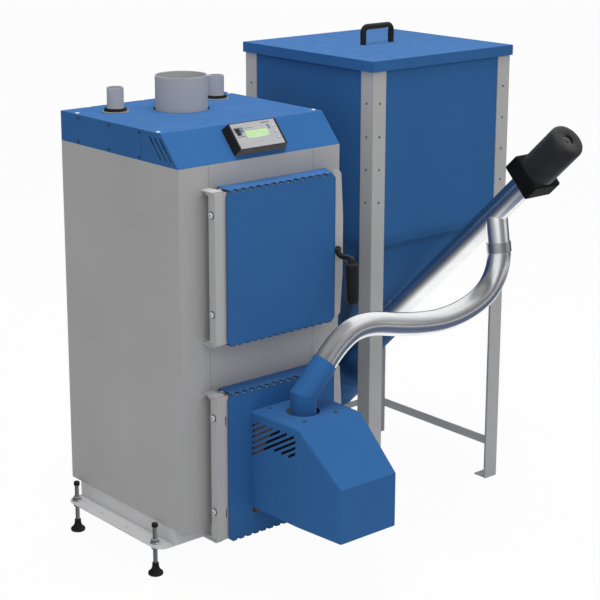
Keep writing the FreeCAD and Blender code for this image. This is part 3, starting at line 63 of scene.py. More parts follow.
# Outward directions
LEFT = (-1, 0, 0)
RIGHT = (1, 0, 0)
FRONT = (0, -1, 0)
BACK = (0, 1, 0)
UP = (0, 0, 1)
CASING_SIDES = ((0, LEFT), (CASING_WIDTH, RIGHT))


def at_boiler(x, y, z):
    """A point given in millimetres from the casing's front left corner on the floor."""
    return BOILER + Vector((x, y, z)) * MM


def at_hopper(x, y, z):
    """A point given in millimetres from the hopper's front left post on the floor."""
    return HOPPER + Vector((x, y, z)) * MM


# Camera fitted to the photograph's edges
IMAGE_WIDTH = 600
SENSOR_WIDTH = 36
FOCAL_PIXELS = 1660.7
CAMERA_SHIFT = (0.03, -0.1)
CAMERA_PLACE = (-2.7677, -3.0350, 1.8118)
CAMERA_DOWN = 14.12
CAMERA_TURN = -40.166


def make_camera():
    data = bpy.data.cameras.new("camera")
    data.sensor_width = SENSOR_WIDTH
    data.lens = FOCAL_PIXELS / IMAGE_WIDTH * SENSOR_WIDTH
    data.shift_x, data.shift_y = CAMERA_SHIFT
    camera = bpy.data.objects.new("camera", data)
    camera.location = CAMERA_PLACE
    camera.rotation_euler = (math.radians(90 - CAMERA_DOWN), 0, math.radians(CAMERA_TURN))
    scene.collection.objects.link(camera)
    scene.camera = camera


# Node helpers
NOISE_SPAN = (0.3, 0.7)


def new_material(name):
    material = bpy.data.materials.new(name)
    material.use_nodes = True
    tree = material.node_tree
    shader = tree.nodes["Principled BSDF"]
    return material, tree, shader


def add(tree, kind, **settings):
    node = tree.nodes.new(kind)
    for key, value in settings.items():
        if key in node.inputs:
            node.inputs[key].default_value = value
        else:
            setattr(node, key, value)
    return node


def object_coords(tree, stretch=(1, 1, 1)):
    coords = tree.nodes.new("ShaderNodeTexCoord")
    mapping = add(tree, "ShaderNodeMapping", Scale=stretch)
    tree.links.new(coords.outputs["Object"], mapping.inputs["Vector"])
    return mapping.outputs["Vector"]


def noise(tree, vector, scale, detail, rough=0.5):
    node = add(tree, "ShaderNodeTexNoise", Scale=scale, Detail=detail, Roughness=rough)
    tree.links.new(vector, node.inputs["Vector"])
    return node.outputs["Fac"]


def ramp(tree, factor, stops):
    node = tree.nodes.new("ShaderNodeValToRGB")
    elements = node.color_ramp.elements
    for element, (position, colour) in zip(elements, (stops[0], stops[-1])):
        element.position = position
        element.color = (*colour, 1.0)
    for position, colour in stops[1:-1]:
        elements.new(position).color = (*colour, 1.0)
    tree.links.new(factor, node.inputs["Fac"])
    return node.outputs["Color"]


def spread(tree, value, source, target=(0.0, 1.0)):
    """The source range laid over the target range, and held at its ends."""
    node = tree.nodes.new("ShaderNodeMapRange")
    names = ("From Min", "From Max", "To Min", "To Max")
    for name, number in zip(names, (*source, *target)):
        node.inputs[name].default_value = number
    tree.links.new(value, node.inputs["Value"])
    return node.outputs["Result"]


def bump(tree, height, strength, distance, edge=0.0):
    node = add(tree, "ShaderNodeBump", Strength=strength, Distance=distance)
    tree.links.new(height, node.inputs["Height"])
    if edge:
        bevel = add(tree, "ShaderNodeBevel", Radius=edge)
        bevel.samples = 4
        tree.links.new(bevel.outputs["Normal"], node.inputs["Normal"])
    return node.outputs["Normal"]


def two_tones(tree, factor, colour, dark, light, span=NOISE_SPAN):
    """The colour made darker and lighter over a noise."""
    tones = []
    for position, amount in zip(span, (dark, light)):
        tones.append((position, tuple(min(1.0, channel * amount) for channel in colour)))
    return ramp(tree, factor, tones)


def connect(tree, shader, **sockets):
    """Links outputs to the shader's sockets, with _ for a space in a socket's name."""
    for name, output in sockets.items():
        tree.links.new(output, shader.inputs[name.replace("_", " ")])


# Materials
def paint(name, colour, rough=(0.46, 0.58), peel=0.06, edge=0.0012, vary=0.04, gloss=0.05):
    """Powder coat on sheet metal: orange peel, faint cloudiness and softened folds."""
    material, tree, shader = new_material(name)
    shader.inputs["Specular IOR Level"].default_value = gloss
    coords = object_coords(tree)
    clouds = noise(tree, coords, scale=3.5, detail=4)
    haze = noise(tree, coords, scale=30, detail=3)
    orange_peel = noise(tree, coords, scale=650, detail=2)
    connect(
        tree,
        shader,
        Base_Color=two_tones(tree, clouds, colour, 1 - vary, 1 + vary),
        Roughness=spread(tree, haze, NOISE_SPAN, rough),
        Normal=bump(tree, orange_peel, peel, 0.0004, edge),
    )
    return material


def bare_metal(name, colour, rough=(0.2, 0.3), streak=(1, 1, 1), depth=0.04, edge=0.0008):
    """Bare or plated metal with streaks along one direction."""
    material, tree, shader = new_material(name)
    shader.inputs["Metallic"].default_value = 1.0
    coords = object_coords(tree, streak)
    clouds = noise(tree, coords, scale=9, detail=4)
    haze = noise(tree, coords, scale=60, detail=4)
    grain = noise(tree, coords, scale=500, detail=3)
    connect(
        tree,
        shader,
        Base_Color=two_tones(tree, clouds, colour, 0.9, 1.06),
        Roughness=spread(tree, haze, NOISE_SPAN, rough),
        Normal=bump(tree, grain, depth, 0.0002, edge),
    )
    return material


def moulded(name, colour, rough=(0.42, 0.58), depth=0.12, gloss=0.3):
    """Moulded plastic or rubber with a fine eroded grain."""
    material, tree, shader = new_material(name)
    shader.inputs["Specular IOR Level"].default_value = gloss
    coords = object_coords(tree)
    clouds = noise(tree, coords, scale=25, detail=4)
    haze = noise(tree, coords, scale=120, detail=3)
    grain = noise(tree, coords, scale=900, detail=2)
    connect(
        tree,
        shader,
        Base_Color=two_tones(tree, clouds, colour, 0.85, 1.2),
        Roughness=spread(tree, haze, NOISE_SPAN, rough),
        Normal=bump(tree, grain, depth, 0.0002, edge=0.0006),
    )
    return material


def fibrous(name, colour, scale=180, depth=0.6):
    """Mineral wool, rope or refractory: rough, mottled and matte."""
    material, tree, shader = new_material(name)
    shader.inputs["Roughness"].default_value = 0.92
    clumps = noise(tree, object_coords(tree), scale, detail=6, rough=0.65)
    connect(
        tree,
        shader,
        Base_Color=two_tones(tree, clumps, colour, 0.7, 1.12, span=(0.25, 0.75)),
        Normal=bump(tree, clumps, depth, 0.002),
    )
    return material


def crystal(name, dark, light):
    """Reflective liquid crystal of an empty display, a little hazy."""
    material, tree, shader = new_material(name)
    shader.inputs["Roughness"].default_value = 0.25
    coords = object_coords(tree)
    haze = noise(tree, coords, scale=60, detail=3)
    grain = noise(tree, coords, scale=2000, detail=1)
    tones = list(zip(NOISE_SPAN, (dark, light)))
    connect(tree, shader, Base_Color=ramp(tree, haze, tones), Normal=bump(tree, grain, 0.03, 0.0001))
    return material


BLUE = (0.038, 0.150, 0.390)
GREY = (0.49, 0.488, 0.492)
PALE = (0.53, 0.53, 0.535)
blue_paint = paint("blue_paint", BLUE)
bin_paint = paint("bin_paint", BLUE, edge=0.050)
door_paint = paint("door_paint", BLUE, edge=0.006)
grey_paint = paint("grey_paint", GREY)
pale_paint = paint("pale_paint", PALE, edge=0.0025)
galvanised = paint("galvanised", (0.77, 0.77, 0.775), rough=(0.4, 0.55), vary=0.06, gloss=0.2)
collar_grey = paint("collar_grey", (0.30, 0.30, 0.305), rough=(0.45, 0.6))
screw_grey = paint("screw_grey", (0.15, 0.15, 0.155), rough=(0.4, 0.55))
pipe_paint = paint("pipe_paint", (0.56, 0.56, 0.57), rough=(0.5, 0.62), vary=0.05)
vessel_paint = paint("vessel_paint", (0.06, 0.06, 0.062), rough=(0.55, 0.7), peel=0.2)
zinc = bare_metal("zinc", (0.62, 0.62, 0.6), rough=(0.28, 0.42))
rod_steel = bare_metal("rod_steel", (0.44, 0.44, 0.43), rough=(0.35, 0.5))
dark_screw_and_shade = bare_metal("dark_screw_and_shade", (0.09, 0.09, 0.095), rough=(0.35, 0.5))
chrome = bare_metal("chrome", (0.94, 0.945, 0.95), rough=(0.16, 0.20), depth=0.01, edge=0.0)
hose_steel = bare_metal("hose_steel", (0.90, 0.905, 0.92), rough=(0.20, 0.25), depth=0.01, edge=0.0)
cuff_steel = bare_metal("cuff_steel", (0.56, 0.56, 0.57), rough=(0.24, 0.34), streak=(1, 1, 0.1))
brass = bare_metal("brass", (0.45, 0.22, 0.13), rough=(0.3, 0.4))
hot_iron = bare_metal("hot_iron", (0.20, 0.155, 0.125), rough=(0.5, 0.7), depth=0.2)
silver_face = bare_metal("silver_face", (0.70, 0.70, 0.715), rough=(0.42, 0.52), streak=(0.1, 1, 1))
black_plastic = moulded("black_plastic", (0.014, 0.014, 0.015))
motor_black = moulded("motor_black", (0.022, 0.022, 0.024), rough=(0.34, 0.44), depth=0.06, gloss=0.45)
gearbox_black = moulded("gearbox_black", (0.007, 0.007, 0.008), rough=(0.5, 0.62), depth=0.08, gloss=0.12)
rubber_and_shade = moulded("rubber_and_shade", (0.02, 0.02, 0.021), rough=(0.6, 0.75), gloss=0.2)
white_plastic = moulded("white_plastic", (0.78, 0.80, 0.84), rough=(0.3, 0.4), depth=0.04)
button_grey = moulded("button_grey", (0.62, 0.63, 0.66), rough=(0.35, 0.45), depth=0.04)
print_blue = moulded("print_blue", (0.16, 0.19, 0.28), rough=(0.45, 0.6), depth=0.03)
print_dark = moulded("print_dark", (0.06, 0.065, 0.08), rough=(0.45, 0.6), depth=0.03)
lamp_green = moulded("lamp_green", (0.35, 0.55, 0.38), rough=(0.2, 0.3), depth=0.03)
teal = moulded("teal_connector", (0.03, 0.10, 0.10), rough=(0.3, 0.4))
sooty_iron = moulded("sooty_iron", (0.020, 0.018, 0.017), rough=(0.7, 0.85), gloss=0.1)
wool = fibrous("mineral_wool", (0.55, 0.47, 0.25))
board = fibrous("door_board", (0.50, 0.44, 0.36), scale=140, depth=0.4)
refractory = fibrous("refractory", (0.5, 0.43, 0.33), scale=90)
rope = fibrous("rope_seal", (0.55, 0.53, 0.48), scale=420, depth=0.9)
screen = crystal("screen", (0.50, 0.74, 0.38), (0.56, 0.80, 0.44))

NODE_MATERIALS = {
    "base_frame": galvanised,
    "casing_left": grey_paint,
    "casing_right": grey_paint,
    "casing_front": grey_paint,
    "casing_back": grey_paint,
    "hood": blue_paint,
    "boiler_vessel": vessel_paint,
    "flue_collar": pipe_paint,
    "supply_pipe": pipe_paint,
    "return_pipe": pipe_paint,
    "flue_baffles": hot_iron,
    "ash_pan": vessel_paint,
    "door_hinges": pale_paint,
    "door_keepers": zinc,
    "upper_door_cover": door_paint,
    "upper_door_frame": pale_paint,
    "upper_door_lining": refractory,
    "lower_door_cover": door_paint,
    "lower_door_frame": pale_paint,
    "lower_door_lining": refractory,
    "burner_cover": blue_paint,
    "burner_flange": hot_iron,
    "burner_tube": sooty_iron,
    "igniter": zinc,
    "fan_housing": motor_black,
    "fan_impeller": zinc,
    "inlet_elbow": blue_paint,
    "controller_box": black_plastic,
    "controller_face": silver_face,
    "display": screen,
    "rocker": black_plastic,
    "button_1": button_grey,
    "button_2": button_grey,
    "button_3": button_grey,
    "hopper_bin": bin_paint,
    "hopper_posts": pale_paint,
    "hopper_rails": pale_paint,
    "hopper_lid": blue_paint,
    "lid_handle": black_plastic,
    "auger_tube": chrome,
    "auger_screw": zinc,
    "gearbox": gearbox_black,
    "hose_cuff": cuff_steel,
}


# The bright tubes mirror the painted studio cove alone, so the other parts are kept out of reflections
def dress_nodes():
    for name, material in NODE_MATERIALS.items():
        mesh = nodes[name].data
        mesh.materials.clear()
        mesh.materials.append(material)
        nodes[name].visible_glossy = False


# Mesh helpers: every piece is built in world metres
def finish_piece(name, build, materials, body, replaced=(), smooth=math.radians(35)):
    bmesh.ops.recalc_face_normals(build, faces=build.faces)
    mesh = bpy.data.meshes.new(name)
    build.to_mesh(mesh)
    build.free()
    for polygon in mesh.polygons:
        polygon.use_smooth = True
    mesh.set_sharp_from_angle(angle=smooth)
    for material in materials:
        mesh.materials.append(material)
    obj = bpy.data.objects.new(name, mesh)
    scene.collection.objects.link(obj)
    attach(obj, body)
    if replaced:
        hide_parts(*replaced)
    obj.visible_glossy = False
    return obj


def frame_at(place, normal):
    """A matrix whose Z axis is the normal, at a place."""
    return Matrix.Translation(place) @ Vector(normal).to_track_quat("Z", "Y").to_matrix().to_4x4()


def hexagon(angle):
    """How far a hexagon's side lies from its centre, as a share of its corner radius."""
    return math.cos(math.pi / 6) / math.cos((angle % (math.pi / 3)) - math.pi / 6)


def rows(material, *points, six=False):
    """Rows of a turned profile from (radius, height) in millimetres, round or six-sided."""
    return [(radius, height, material, six) for radius, height in points]


def skin(build, low, high, material):
    """Faces between two rings, either of which may be a single point."""
    count = max(len(low), len(high))
    for step in range(count):
        after = (step + 1) % count
        corners = [low[step % len(low)], low[after % len(low)]]
        corners += [high[after % len(high)], high[step % len(high)]]
        corners = list(dict.fromkeys(corners))
        if len(corners) > 2:
            build.faces.new(corners).material_index = material


def lathe(build, place, profile, segments=24):
    """A turned form. The face above a row has that row's material."""
    rings = []
    for radius, height, material, six in profile:
        if radius == 0:
            rings.append([build.verts.new(place @ Vector((0, 0, height * MM)))])
            continue
        ring = []
        for step in range(segments):
            angle = 2 * math.pi * step / segments
            reach = radius * MM * (hexagon(angle) if six else 1.0)
            point = Vector((reach * math.cos(angle), reach * math.sin(angle), height * MM))
            ring.append(build.verts.new(place @ point))
        rings.append(ring)
    for row, low, high in zip(profile, rings, rings[1:]):
        skin(build, low, high, row[2])


def slab(build, place, low, high, material=0, round_by=0.0):
    """A block in a placed frame, in millimetres, with rounded edges."""
    middle = (Vector(low) + Vector(high)) / 2 * MM
    size = (Vector(high) - Vector(low)) * MM
    made = bmesh.ops.create_cube(build, size=1.0)
    for vert in made["verts"]:
        vert.co = place @ (middle + Vector((vert.co.x * size.x, vert.co.y * size.y, vert.co.z * size.z)))
    faces = list(dict.fromkeys(face for vert in made["verts"] for face in vert.link_faces))
    for face in faces:
        face.material_index = material
    if round_by:
        edges = list(dict.fromkeys(edge for face in faces for edge in face.edges))
        bmesh.ops.bevel(build, geom=edges, offset=round_by * MM, segments=2, affect="EDGES", profile=0.5)


def loft(build, stations, place, material=0):
    """A closed skin through stations of (centre, half size), bending in the YZ plane."""
    around = 20
    squareness = 3.0
    centres = [Vector(centre) for centre, half in stations]
    rings = []
    for index, (centre, half) in enumerate(stations):
        wide, deep = half
        before = centres[max(index - 1, 0)]
        after = centres[min(index + 1, len(centres) - 1)]
        side = Vector(RIGHT)
        outward = (after - before).normalized().cross(side).normalized()
        ring = []
        for step in range(around):
            angle = 2 * math.pi * step / around
            across = math.cos(angle)
            out = math.sin(angle)
            u = math.copysign(abs(across) ** (2 / squareness), across) * wide
            w = math.copysign(abs(out) ** (2 / squareness), out) * deep
            ring.append(build.verts.new(place @ ((Vector(centre) + side * u + outward * w) * MM)))
        rings.append(ring)
    for low, high in zip(rings, rings[1:]):
        skin(build, low, high, material)
    for ring in (rings[0], rings[-1]):
        build.faces.new(ring).material_index = material


def screw_head(radius, height):
    """A pan head with a hexagon socket."""
    socket = height * 0.3
    head = rows(0, (radius, 0), (radius, height * 0.35))
    head += rows(0, (radius * 0.86, height * 0.8), (radius * 0.55, height))
    head += rows(0, (radius * 0.48, height), (radius * 0.45, socket), six=True)
    return head + rows(0, (0, socket))


def make_turned(name, places, profile, materials, body, replaced=(), segments=24):
    """One piece of equal turned forms, each at a place and along its outward direction."""
    build = bmesh.new()
    for place, normal in places:
        lathe(build, frame_at(place, normal), profile, segments)
    finish_piece(name, build, materials, body, replaced)


# Feed hose on one smooth spline, with the route's points in millimetres as its control points
HOSE_RADIUS = 0.030
HOSE_ROUTE = [
    (-204.6, -160.3, 536.4),
    (-167.7, -160.3, 578.3),
    (-90.2, -169.0, 618.3),
    (47.4, -190.8, 587.8),
    (174.2, -214.3, 583.8),
    (281.8, -236.9, 631.3),
    (318.5, -247.3, 714.0),
    (318.5, -240.8, 755.5),
]


def make_hose():
    curve = bpy.data.curves.new("feed_hose_smooth", "CURVE")
    curve.dimensions = "3D"
    curve.bevel_depth = HOSE_RADIUS
    curve.bevel_resolution = 10
    curve.resolution_u = 24
    curve.use_fill_caps = False
    spline = curve.splines.new("NURBS")
    spline.points.add(len(HOSE_ROUTE) - 1)
    for point, place in zip(spline.points, HOSE_ROUTE):
        point.co = (*(value * MM for value in place), 1.0)
    spline.order_u = 3
    spline.use_endpoint_u = True
    hose = bpy.data.objects.new("feed_hose_smooth", curve)
    scene.collection.objects.link(hose)
    curve.materials.append(hose_steel)
    hose.visible_glossy = False
    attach(hose, "boiler")
    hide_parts("feed_hose")


# Screw heads on the hood, the hopper posts, the burner and the funnel
HOOD_SCREW_SHARES = (0.84, 0.57, 0.31)
HOOD_SCREW_HEIGHTS = (1043.5, 1102)
POST_SCREW_TOP = 1124
POST_SCREW_STEP = 85.3
POST_SCREW_EDGE = 23.5
BURNER_SCREWS = ((215, -73), (215, -199), (316, -199))
BURNER_TOP = 427
FUNNEL_SCREWS = ((284, 157.1, 556.2), (248.4, 183.7, 522.8))
FUNNEL_OUTWARD = (0, -0.78, -0.62)


def make_screws():
    places = []
    for share in HOOD_SCREW_SHARES:
        for z in HOOD_SCREW_HEIGHTS:
            for x, normal in CASING_SIDES:
                places.append((at_boiler(x, CASING_DEPTH * share, z), normal))
    head = screw_head(radius=3.4, height=1.6)
    make_turned("hood_screw_heads", places, head, [dark_screw_and_shade], "boiler", ["casing_screws"])

    places = []
    for level in range(4):
        z = POST_SCREW_TOP - POST_SCREW_STEP * level
        for x in (POST_SCREW_EDGE, HOPPER_WIDTH - POST_SCREW_EDGE):
            places.append((at_hopper(x, 0, z), FRONT))
            places.append((at_hopper(x, HOPPER_DEPTH, z), BACK))
        for y in (POST_SCREW_EDGE, HOPPER_DEPTH - POST_SCREW_EDGE):
            places.append((at_hopper(0, y, z), LEFT))
            places.append((at_hopper(HOPPER_WIDTH, y, z), RIGHT))
    head = screw_head(radius=3.2, height=1.5)
    make_turned("post_screw_heads", places, head, [screw_grey], "boiler", ["hopper_screws"])

    places = [(at_boiler(x, y, BURNER_TOP), UP) for x, y in BURNER_SCREWS]
    head = screw_head(radius=5, height=2)
    make_turned("burner_screw_heads", places, head, [dark_screw_and_shade], "lower_door", ["burner_screws"])

    places = [(at_hopper(*place), FUNNEL_OUTWARD) for place in FUNNEL_SCREWS]
    head = screw_head(radius=3.4, height=2.2)
    make_turned("funnel_screw_heads", places, head, [white_plastic], "boiler")


# Rivets on the casing's sides, and bolts through the doors' hinge strips
CASING_RIVETS = ((11, 995), (481, 994), (484, 585), (12, 178), (12, 585))
HINGE_BOLT_PLACE = (65, -40)
HINGE_BOLT_RISES = (79, 320)


def make_rivets_and_bolts():
    places = []
    for y, z in CASING_RIVETS:
        for x, normal in CASING_SIDES:
            places.append((at_boiler(x, y, z), normal))
    dome = rows(0, (3.2, 0), (3.0, 0.6), (1.8, 1.1), (0, 1.3))
    make_turned("casing_rivets", places, dome, [pale_paint], "boiler", segments=16)

    bright = 0
    dark = 1
    # The dark ring under each bolt head and the dark socket are painted shade; the hex head is galvanised
    bolt = rows(dark, (9, 0), (9, 1.2))
    bolt += rows(bright, (7.4, 1.2), (7.4, 4.4), six=True)
    bolt += rows(bright, (5.6, 5.4))
    bolt += rows(dark, (2.2, 5.4), (2.0, 2.2), six=True)
    bolt += rows(dark, (0, 2.2))
    for door, base in DOOR_BASES.items():
        places = [(at_boiler(*HINGE_BOLT_PLACE, base + rise), LEFT) for rise in HINGE_BOLT_RISES]
        make_turned(door + "_hinge_bolts", places, bolt, [galvanised, dark_screw_and_shade], door + "_door")


# Plugs in the hood, and grommets round the pipes
PLUG_EDGE = 9.5
PLUG_DEPTHS = (88, 429)
PIPE_PLACES = ((97, 389), (415, 389))


def make_hood_trim():
    places = []
    for x in (PLUG_EDGE, CASING_WIDTH - PLUG_EDGE):
        for y in PLUG_DEPTHS:
            places.append((at_boiler(x, y, HOOD_TOP), UP))
    cap = rows(0, (5.4, 0), (5.2, 1.0), (4.0, 1.8), (2.0, 2.2), (0, 2.3))
    make_turned("plug_caps", places, cap, [white_plastic], "boiler", ["hood_plugs"])

    soft = 0
    collar = 1
    places = [(at_boiler(x, y, HOOD_TOP), UP) for x, y in PIPE_PLACES]
    ring = rows(collar, (22.5, 0), (34, 0), (34, 1.6), (33, 2.2))
    ring += rows(soft, (29.5, 2.4), (29, 5), (27.5, 6), (27.5, 8.6), (26.2, 10), (22.5, 10), (22.5, 0))
    stuff = [rubber_and_shade, collar_grey]
    make_turned("grommet_rings", places, ring, stuff, "boiler", ["pipe_grommets"], 48)


# Levelling feet: moulded pad, threaded spindle, cap, and flanged nuts on the base
FEET = {
    "foot_front_left": (-20, 92),
    "foot_front_right": (520, 92),
    "foot_back_left": (-20, 440),
    "foot_back_right": (520, 440),
}
THREAD_START = 32.2
THREAD_PITCH = 1.75
THREAD_TURNS = 54
THREAD_CORE = 5.0
THREAD_CREST = 5.75
UPPER_NUT_HEIGHT = 84
LOWER_NUT_HEIGHT = 69


def make_feet():
    black = 0
    steel = 1
    profile = rows(black, (0, 0), (18, 0), (19, 1.5), (19, 6), (17.5, 8), (12.5, 12))
    profile += rows(black, (9.6, 18), (8.5, 24), (8.2, 31), (7.2, 32))
    for turn in range(THREAD_TURNS):
        z = THREAD_START + THREAD_PITCH * turn
        profile += rows(steel, (THREAD_CORE, z), (THREAD_CREST, z + THREAD_PITCH / 2))
    profile += rows(black, (THREAD_CREST, 127), (8, 127), (8, 134), (7, 136.4), (4, 137), (0, 137))
    for foot, (x, y) in FEET.items():
        build = bmesh.new()
        lathe(build, Matrix.Translation(at_boiler(x, y, 0)), profile, segments=20)
        finish_piece(foot + "_turned", build, [black_plastic, rod_steel], foot, [foot])

    upper = rows(0, (6.1, 0), (12.5, 0), (12.5, 1.4))
    upper += rows(0, (11, 2.6), (11, 9.6), six=True)
    upper += rows(0, (9.2, 11), (6.1, 11), (6.1, 0))
    lower = rows(0, (6.1, 0), (9.2, 0))
    lower += rows(0, (11, 1.4), (11, 9.6), six=True)
    lower += rows(0, (9.6, 11), (6.1, 11), (6.1, 0))
    build = bmesh.new()
    for x, y in FEET.values():
        lathe(build, Matrix.Translation(at_boiler(x, y, UPPER_NUT_HEIGHT)), upper)
        lathe(build, Matrix.Translation(at_boiler(x, y, LOWER_NUT_HEIGHT)), lower)
    finish_piece("foot_nut_set", build, [zinc], "boiler", ["foot_nuts"])


# Door handles: hub, bent arm and moulded grip in one skin, with the latch shaft and tongue behind
HANDLE_STATIONS = [
    ((-4, -2, 0), (7.0, 7.0)),
    ((-5, -7, -1), (7.0, 7.0)),
    ((-4, -13, -9), (6.8, 6.8)),
    ((-2.6, -20, -13.4), (6.6, 6.6)),
    ((-1.5, -30, -14), (6.6, 6.6)),
    ((-0.5, -43, -13.6), (6.8, 6.8)),
    ((0, -51, -14.4), (7.4, 7.4)),
    ((0, -55, -18), (8.4, 8.4)),
    ((0, -56, -25), (9.2, 9.2)),
    ((0, -56, -26.5), (13.0, 13.0)),
    ((0, -56, -29.5), (15.4, 15.2)),
    ((0.3, -56, -42), (15.8, 15.4)),
    ((1.8, -56, -77), (15.0, 14.8)),
    ((3.2, -56, -117), (14.0, 14.0)),
    ((3.5, -56, -125.5), (13.4, 13.4)),
    ((3.6, -56, -128), (11.5, 11.5)),
    ((3.6, -56, -129), (6.0, 6.0)),
]
TONGUE_LOW = (-5, 14, -6)
TONGUE_HIGH = (17, 20, 6)


def make_handles():
    black = 0
    steel = 1
    shaft = rows(steel, (0, -20), (5.6, -20), (5.6, 1))
    shaft += rows(black, (9, 1), (9, 6), (8, 8), (0, 8))
    x, y, rise = HANDLE_PIVOT
    for door, base in DOOR_BASES.items():
        build = bmesh.new()
        pivot = at_boiler(x, y, base + rise)
        place = Matrix.Translation(pivot)
        loft(build, HANDLE_STATIONS, place, black)
        lathe(build, frame_at(pivot, FRONT), shaft)
        slab(build, place, TONGUE_LOW, TONGUE_HIGH, steel, round_by=1.0)
        name = door + "_door_handle"
        stuff = [black_plastic, zinc]
        finish_piece(name + "_moulded", build, stuff, door + "_handle", [name])


# Boards behind each cover's perforations, a dark strip in the rubber material behind the bottom row as
# painted shade in those slots, and rope seals round the linings
BOARD_LEFT = 112
BOARD_RIGHT = 424
BOARD_HEIGHTS = ((8, 52), (321, 369.5))
BOARD_DEPTHS = (-54, -28)
BOARD_LUMPS = 60
BOARD_RELIEF = 0.0008
SHADE_STRIP_HEIGHTS = (-2.9, 6)
SHADE_STRIP_DEPTHS = (-56, -44)
SEAL_SIDES = (115, 400)
SEAL_HEIGHTS = (58, 333)
SEAL_CORNER = 10
SEAL_DEPTH = -15
ROPE_STEP = 3.0
ROPE_HALF_WIDTH = 3.7
ROPE_HALF_DEPTH = 2.8
ROPE_STRANDS = 3
ROPE_TWIST_LENGTH = 2.2
ROPE_RELIEF = 0.07


def make_door_insides():
    for door, base in DOOR_BASES.items():
        make_door_board(door, base)
        make_door_rope(door, base)


def make_door_board(door, base):
    build = bmesh.new()
    place = Matrix.Translation(at_boiler(0, 0, base))
    front, back = BOARD_DEPTHS
    for low, high in BOARD_HEIGHTS:
        slab(build, place, (BOARD_LEFT, front, low), (BOARD_RIGHT, back, high), 0, round_by=3.0)
    bmesh.ops.subdivide_edges(build, edges=build.edges, cuts=3, use_grid_fill=True)
    for vert in build.verts:
        vert.co += vert.normal * (field.noise(vert.co * BOARD_LUMPS) * BOARD_RELIEF)
    # A dark strip below the lower board, in the rubber material: painted shade seen through the bottom
    # perforations
    front, back = SHADE_STRIP_DEPTHS
    low, high = SHADE_STRIP_HEIGHTS
    slab(build, place, (BOARD_LEFT, front, low), (BOARD_RIGHT, back, high), 1, round_by=1.0)
    finish_piece(door + "_door_board", build, [board, rubber_and_shade], door + "_door")


def make_door_rope(door, base):
    left, right = SEAL_SIDES
    low, high = SEAL_HEIGHTS
    centres = [
        (right - SEAL_CORNER, base + high - SEAL_CORNER),
        (left + SEAL_CORNER, base + high - SEAL_CORNER),
        (left + SEAL_CORNER, base + low + SEAL_CORNER),
        (right - SEAL_CORNER, base + low + SEAL_CORNER),
    ]
    path = []
    for quarter, (x, z) in enumerate(centres):
        for step in range(5):
            angle = math.radians(90 * quarter + 22.5 * step)
            path.append(Vector((x + SEAL_CORNER * math.cos(angle), 0, z + SEAL_CORNER * math.sin(angle))))
    build = bmesh.new()
    rope_ring(build, path)
    finish_piece(door + "_door_rope", build, [rope], door + "_door", [door + "_door_seal"])


def rope_ring(build, corners):
    """A twisted rope along a closed path in the XZ plane, at the door lining's back."""
    points = []
    for start, end in zip(corners, corners[1:] + corners[:1]):
        steps = max(1, int((end - start).length / ROPE_STEP))
        for step in range(steps):
            points.append(start.lerp(end, step / steps))
    around = 10
    rings = []
    travelled = 0.0
    for index, point in enumerate(points):
        after = points[(index + 1) % len(points)]
        before = points[index - 1]
        side = (after - before).normalized().cross(Vector(BACK)).normalized()
        ring = []
        for step in range(around):
            angle = 2 * math.pi * step / around
            twist = 1 + ROPE_RELIEF * math.sin(ROPE_STRANDS * angle + travelled / ROPE_TWIST_LENGTH)
            across = side * (math.cos(angle) * ROPE_HALF_WIDTH * twist)
            inward = Vector((0, math.sin(angle) * ROPE_HALF_DEPTH * twist + SEAL_DEPTH, 0))
            ring.append(build.verts.new(at_boiler(*(point + across + inward))))
        rings.append(ring)
        travelled += (after - point).length
    for low, high in zip(rings, rings[1:] + rings[:1]):
        skin(build, low, high, 0)


# Mineral wool batts round the vessel, soft and a little uneven
BATTS = [
    ((16, 64, 134), (44, 468, 1028)),
    ((456, 64, 134), (484, 468, 1028)),
    ((46, 441, 134), (454, 469, 1028)),
    ((46, 66, 1002), (150, 354, 1029)),
    ((354, 66, 1002), (454, 354, 1029)),
    ((152, 66, 1002), (350, 220, 1029)),
]
LONG_EDGE = 0.05
WOOL_LUMPS = 25
WOOL_RELIEF = 0.003
WOOL_SETTLED = 0.001


def make_blanket():
    build = bmesh.new()
    for low, high in BATTS:
        slab(build, Matrix.Translation(BOILER), low, high, 0, round_by=6.0)
    long_edges = [edge for edge in build.edges if edge.calc_length() > LONG_EDGE]
    bmesh.ops.subdivide_edges(build, edges=long_edges, cuts=9, use_grid_fill=True)
    build.normal_update()
    for vert in build.verts:
        vert.co += vert.normal * (field.noise(vert.co * WOOL_LUMPS) * WOOL_RELIEF - WOOL_SETTLED)
    soft = math.radians(60)
    blanket = finish_piece("mineral_wool_batts", build, [wool], "boiler", ["insulation"], soft)


# Controller: plain marks, display frame, rocker bezel, button rims and indicator lamps
CONTROLLER_LEFT = 172
CONTROLLER_UP_SLOPE = 12
FACE_HEIGHT = 25.5
MARK_THICKNESS = 0.15
BLUE_MARKS = [
    ((12, 46), (17.2, 60)),
    ((28.8, 46), (40.4, 60)),
    ((113.6, 46), (122, 60)),
    ((14, 33.5), (38, 36)),
]
DARK_MARKS = [
    ((100, 64.5), (126, 66.5)),
    ((44, 56), (70, 57)),
]
BUTTON_COLUMN = 133
BUTTON_START = 20
BUTTON_STEP = 17
LAMP_ROW = 17
LAMP_COLUMNS = (50, 60, 70, 80)
SUNK = 0.2


def border(build, place, low, high, width, proud, round_by):
    """Four bars inside a rectangle on the controller's face."""
    left, down = low
    right, up = high
    bars = [
        ((left, down), (right, down + width)),
        ((left, up - width), (right, up)),
        ((left, down + width), (left + width, up - width)),
        ((right - width, down + width), (right, up - width)),
    ]
    for start, end in bars:
        slab(build, place, (*start, FACE_HEIGHT - SUNK), (*end, FACE_HEIGHT + proud), 0, round_by)


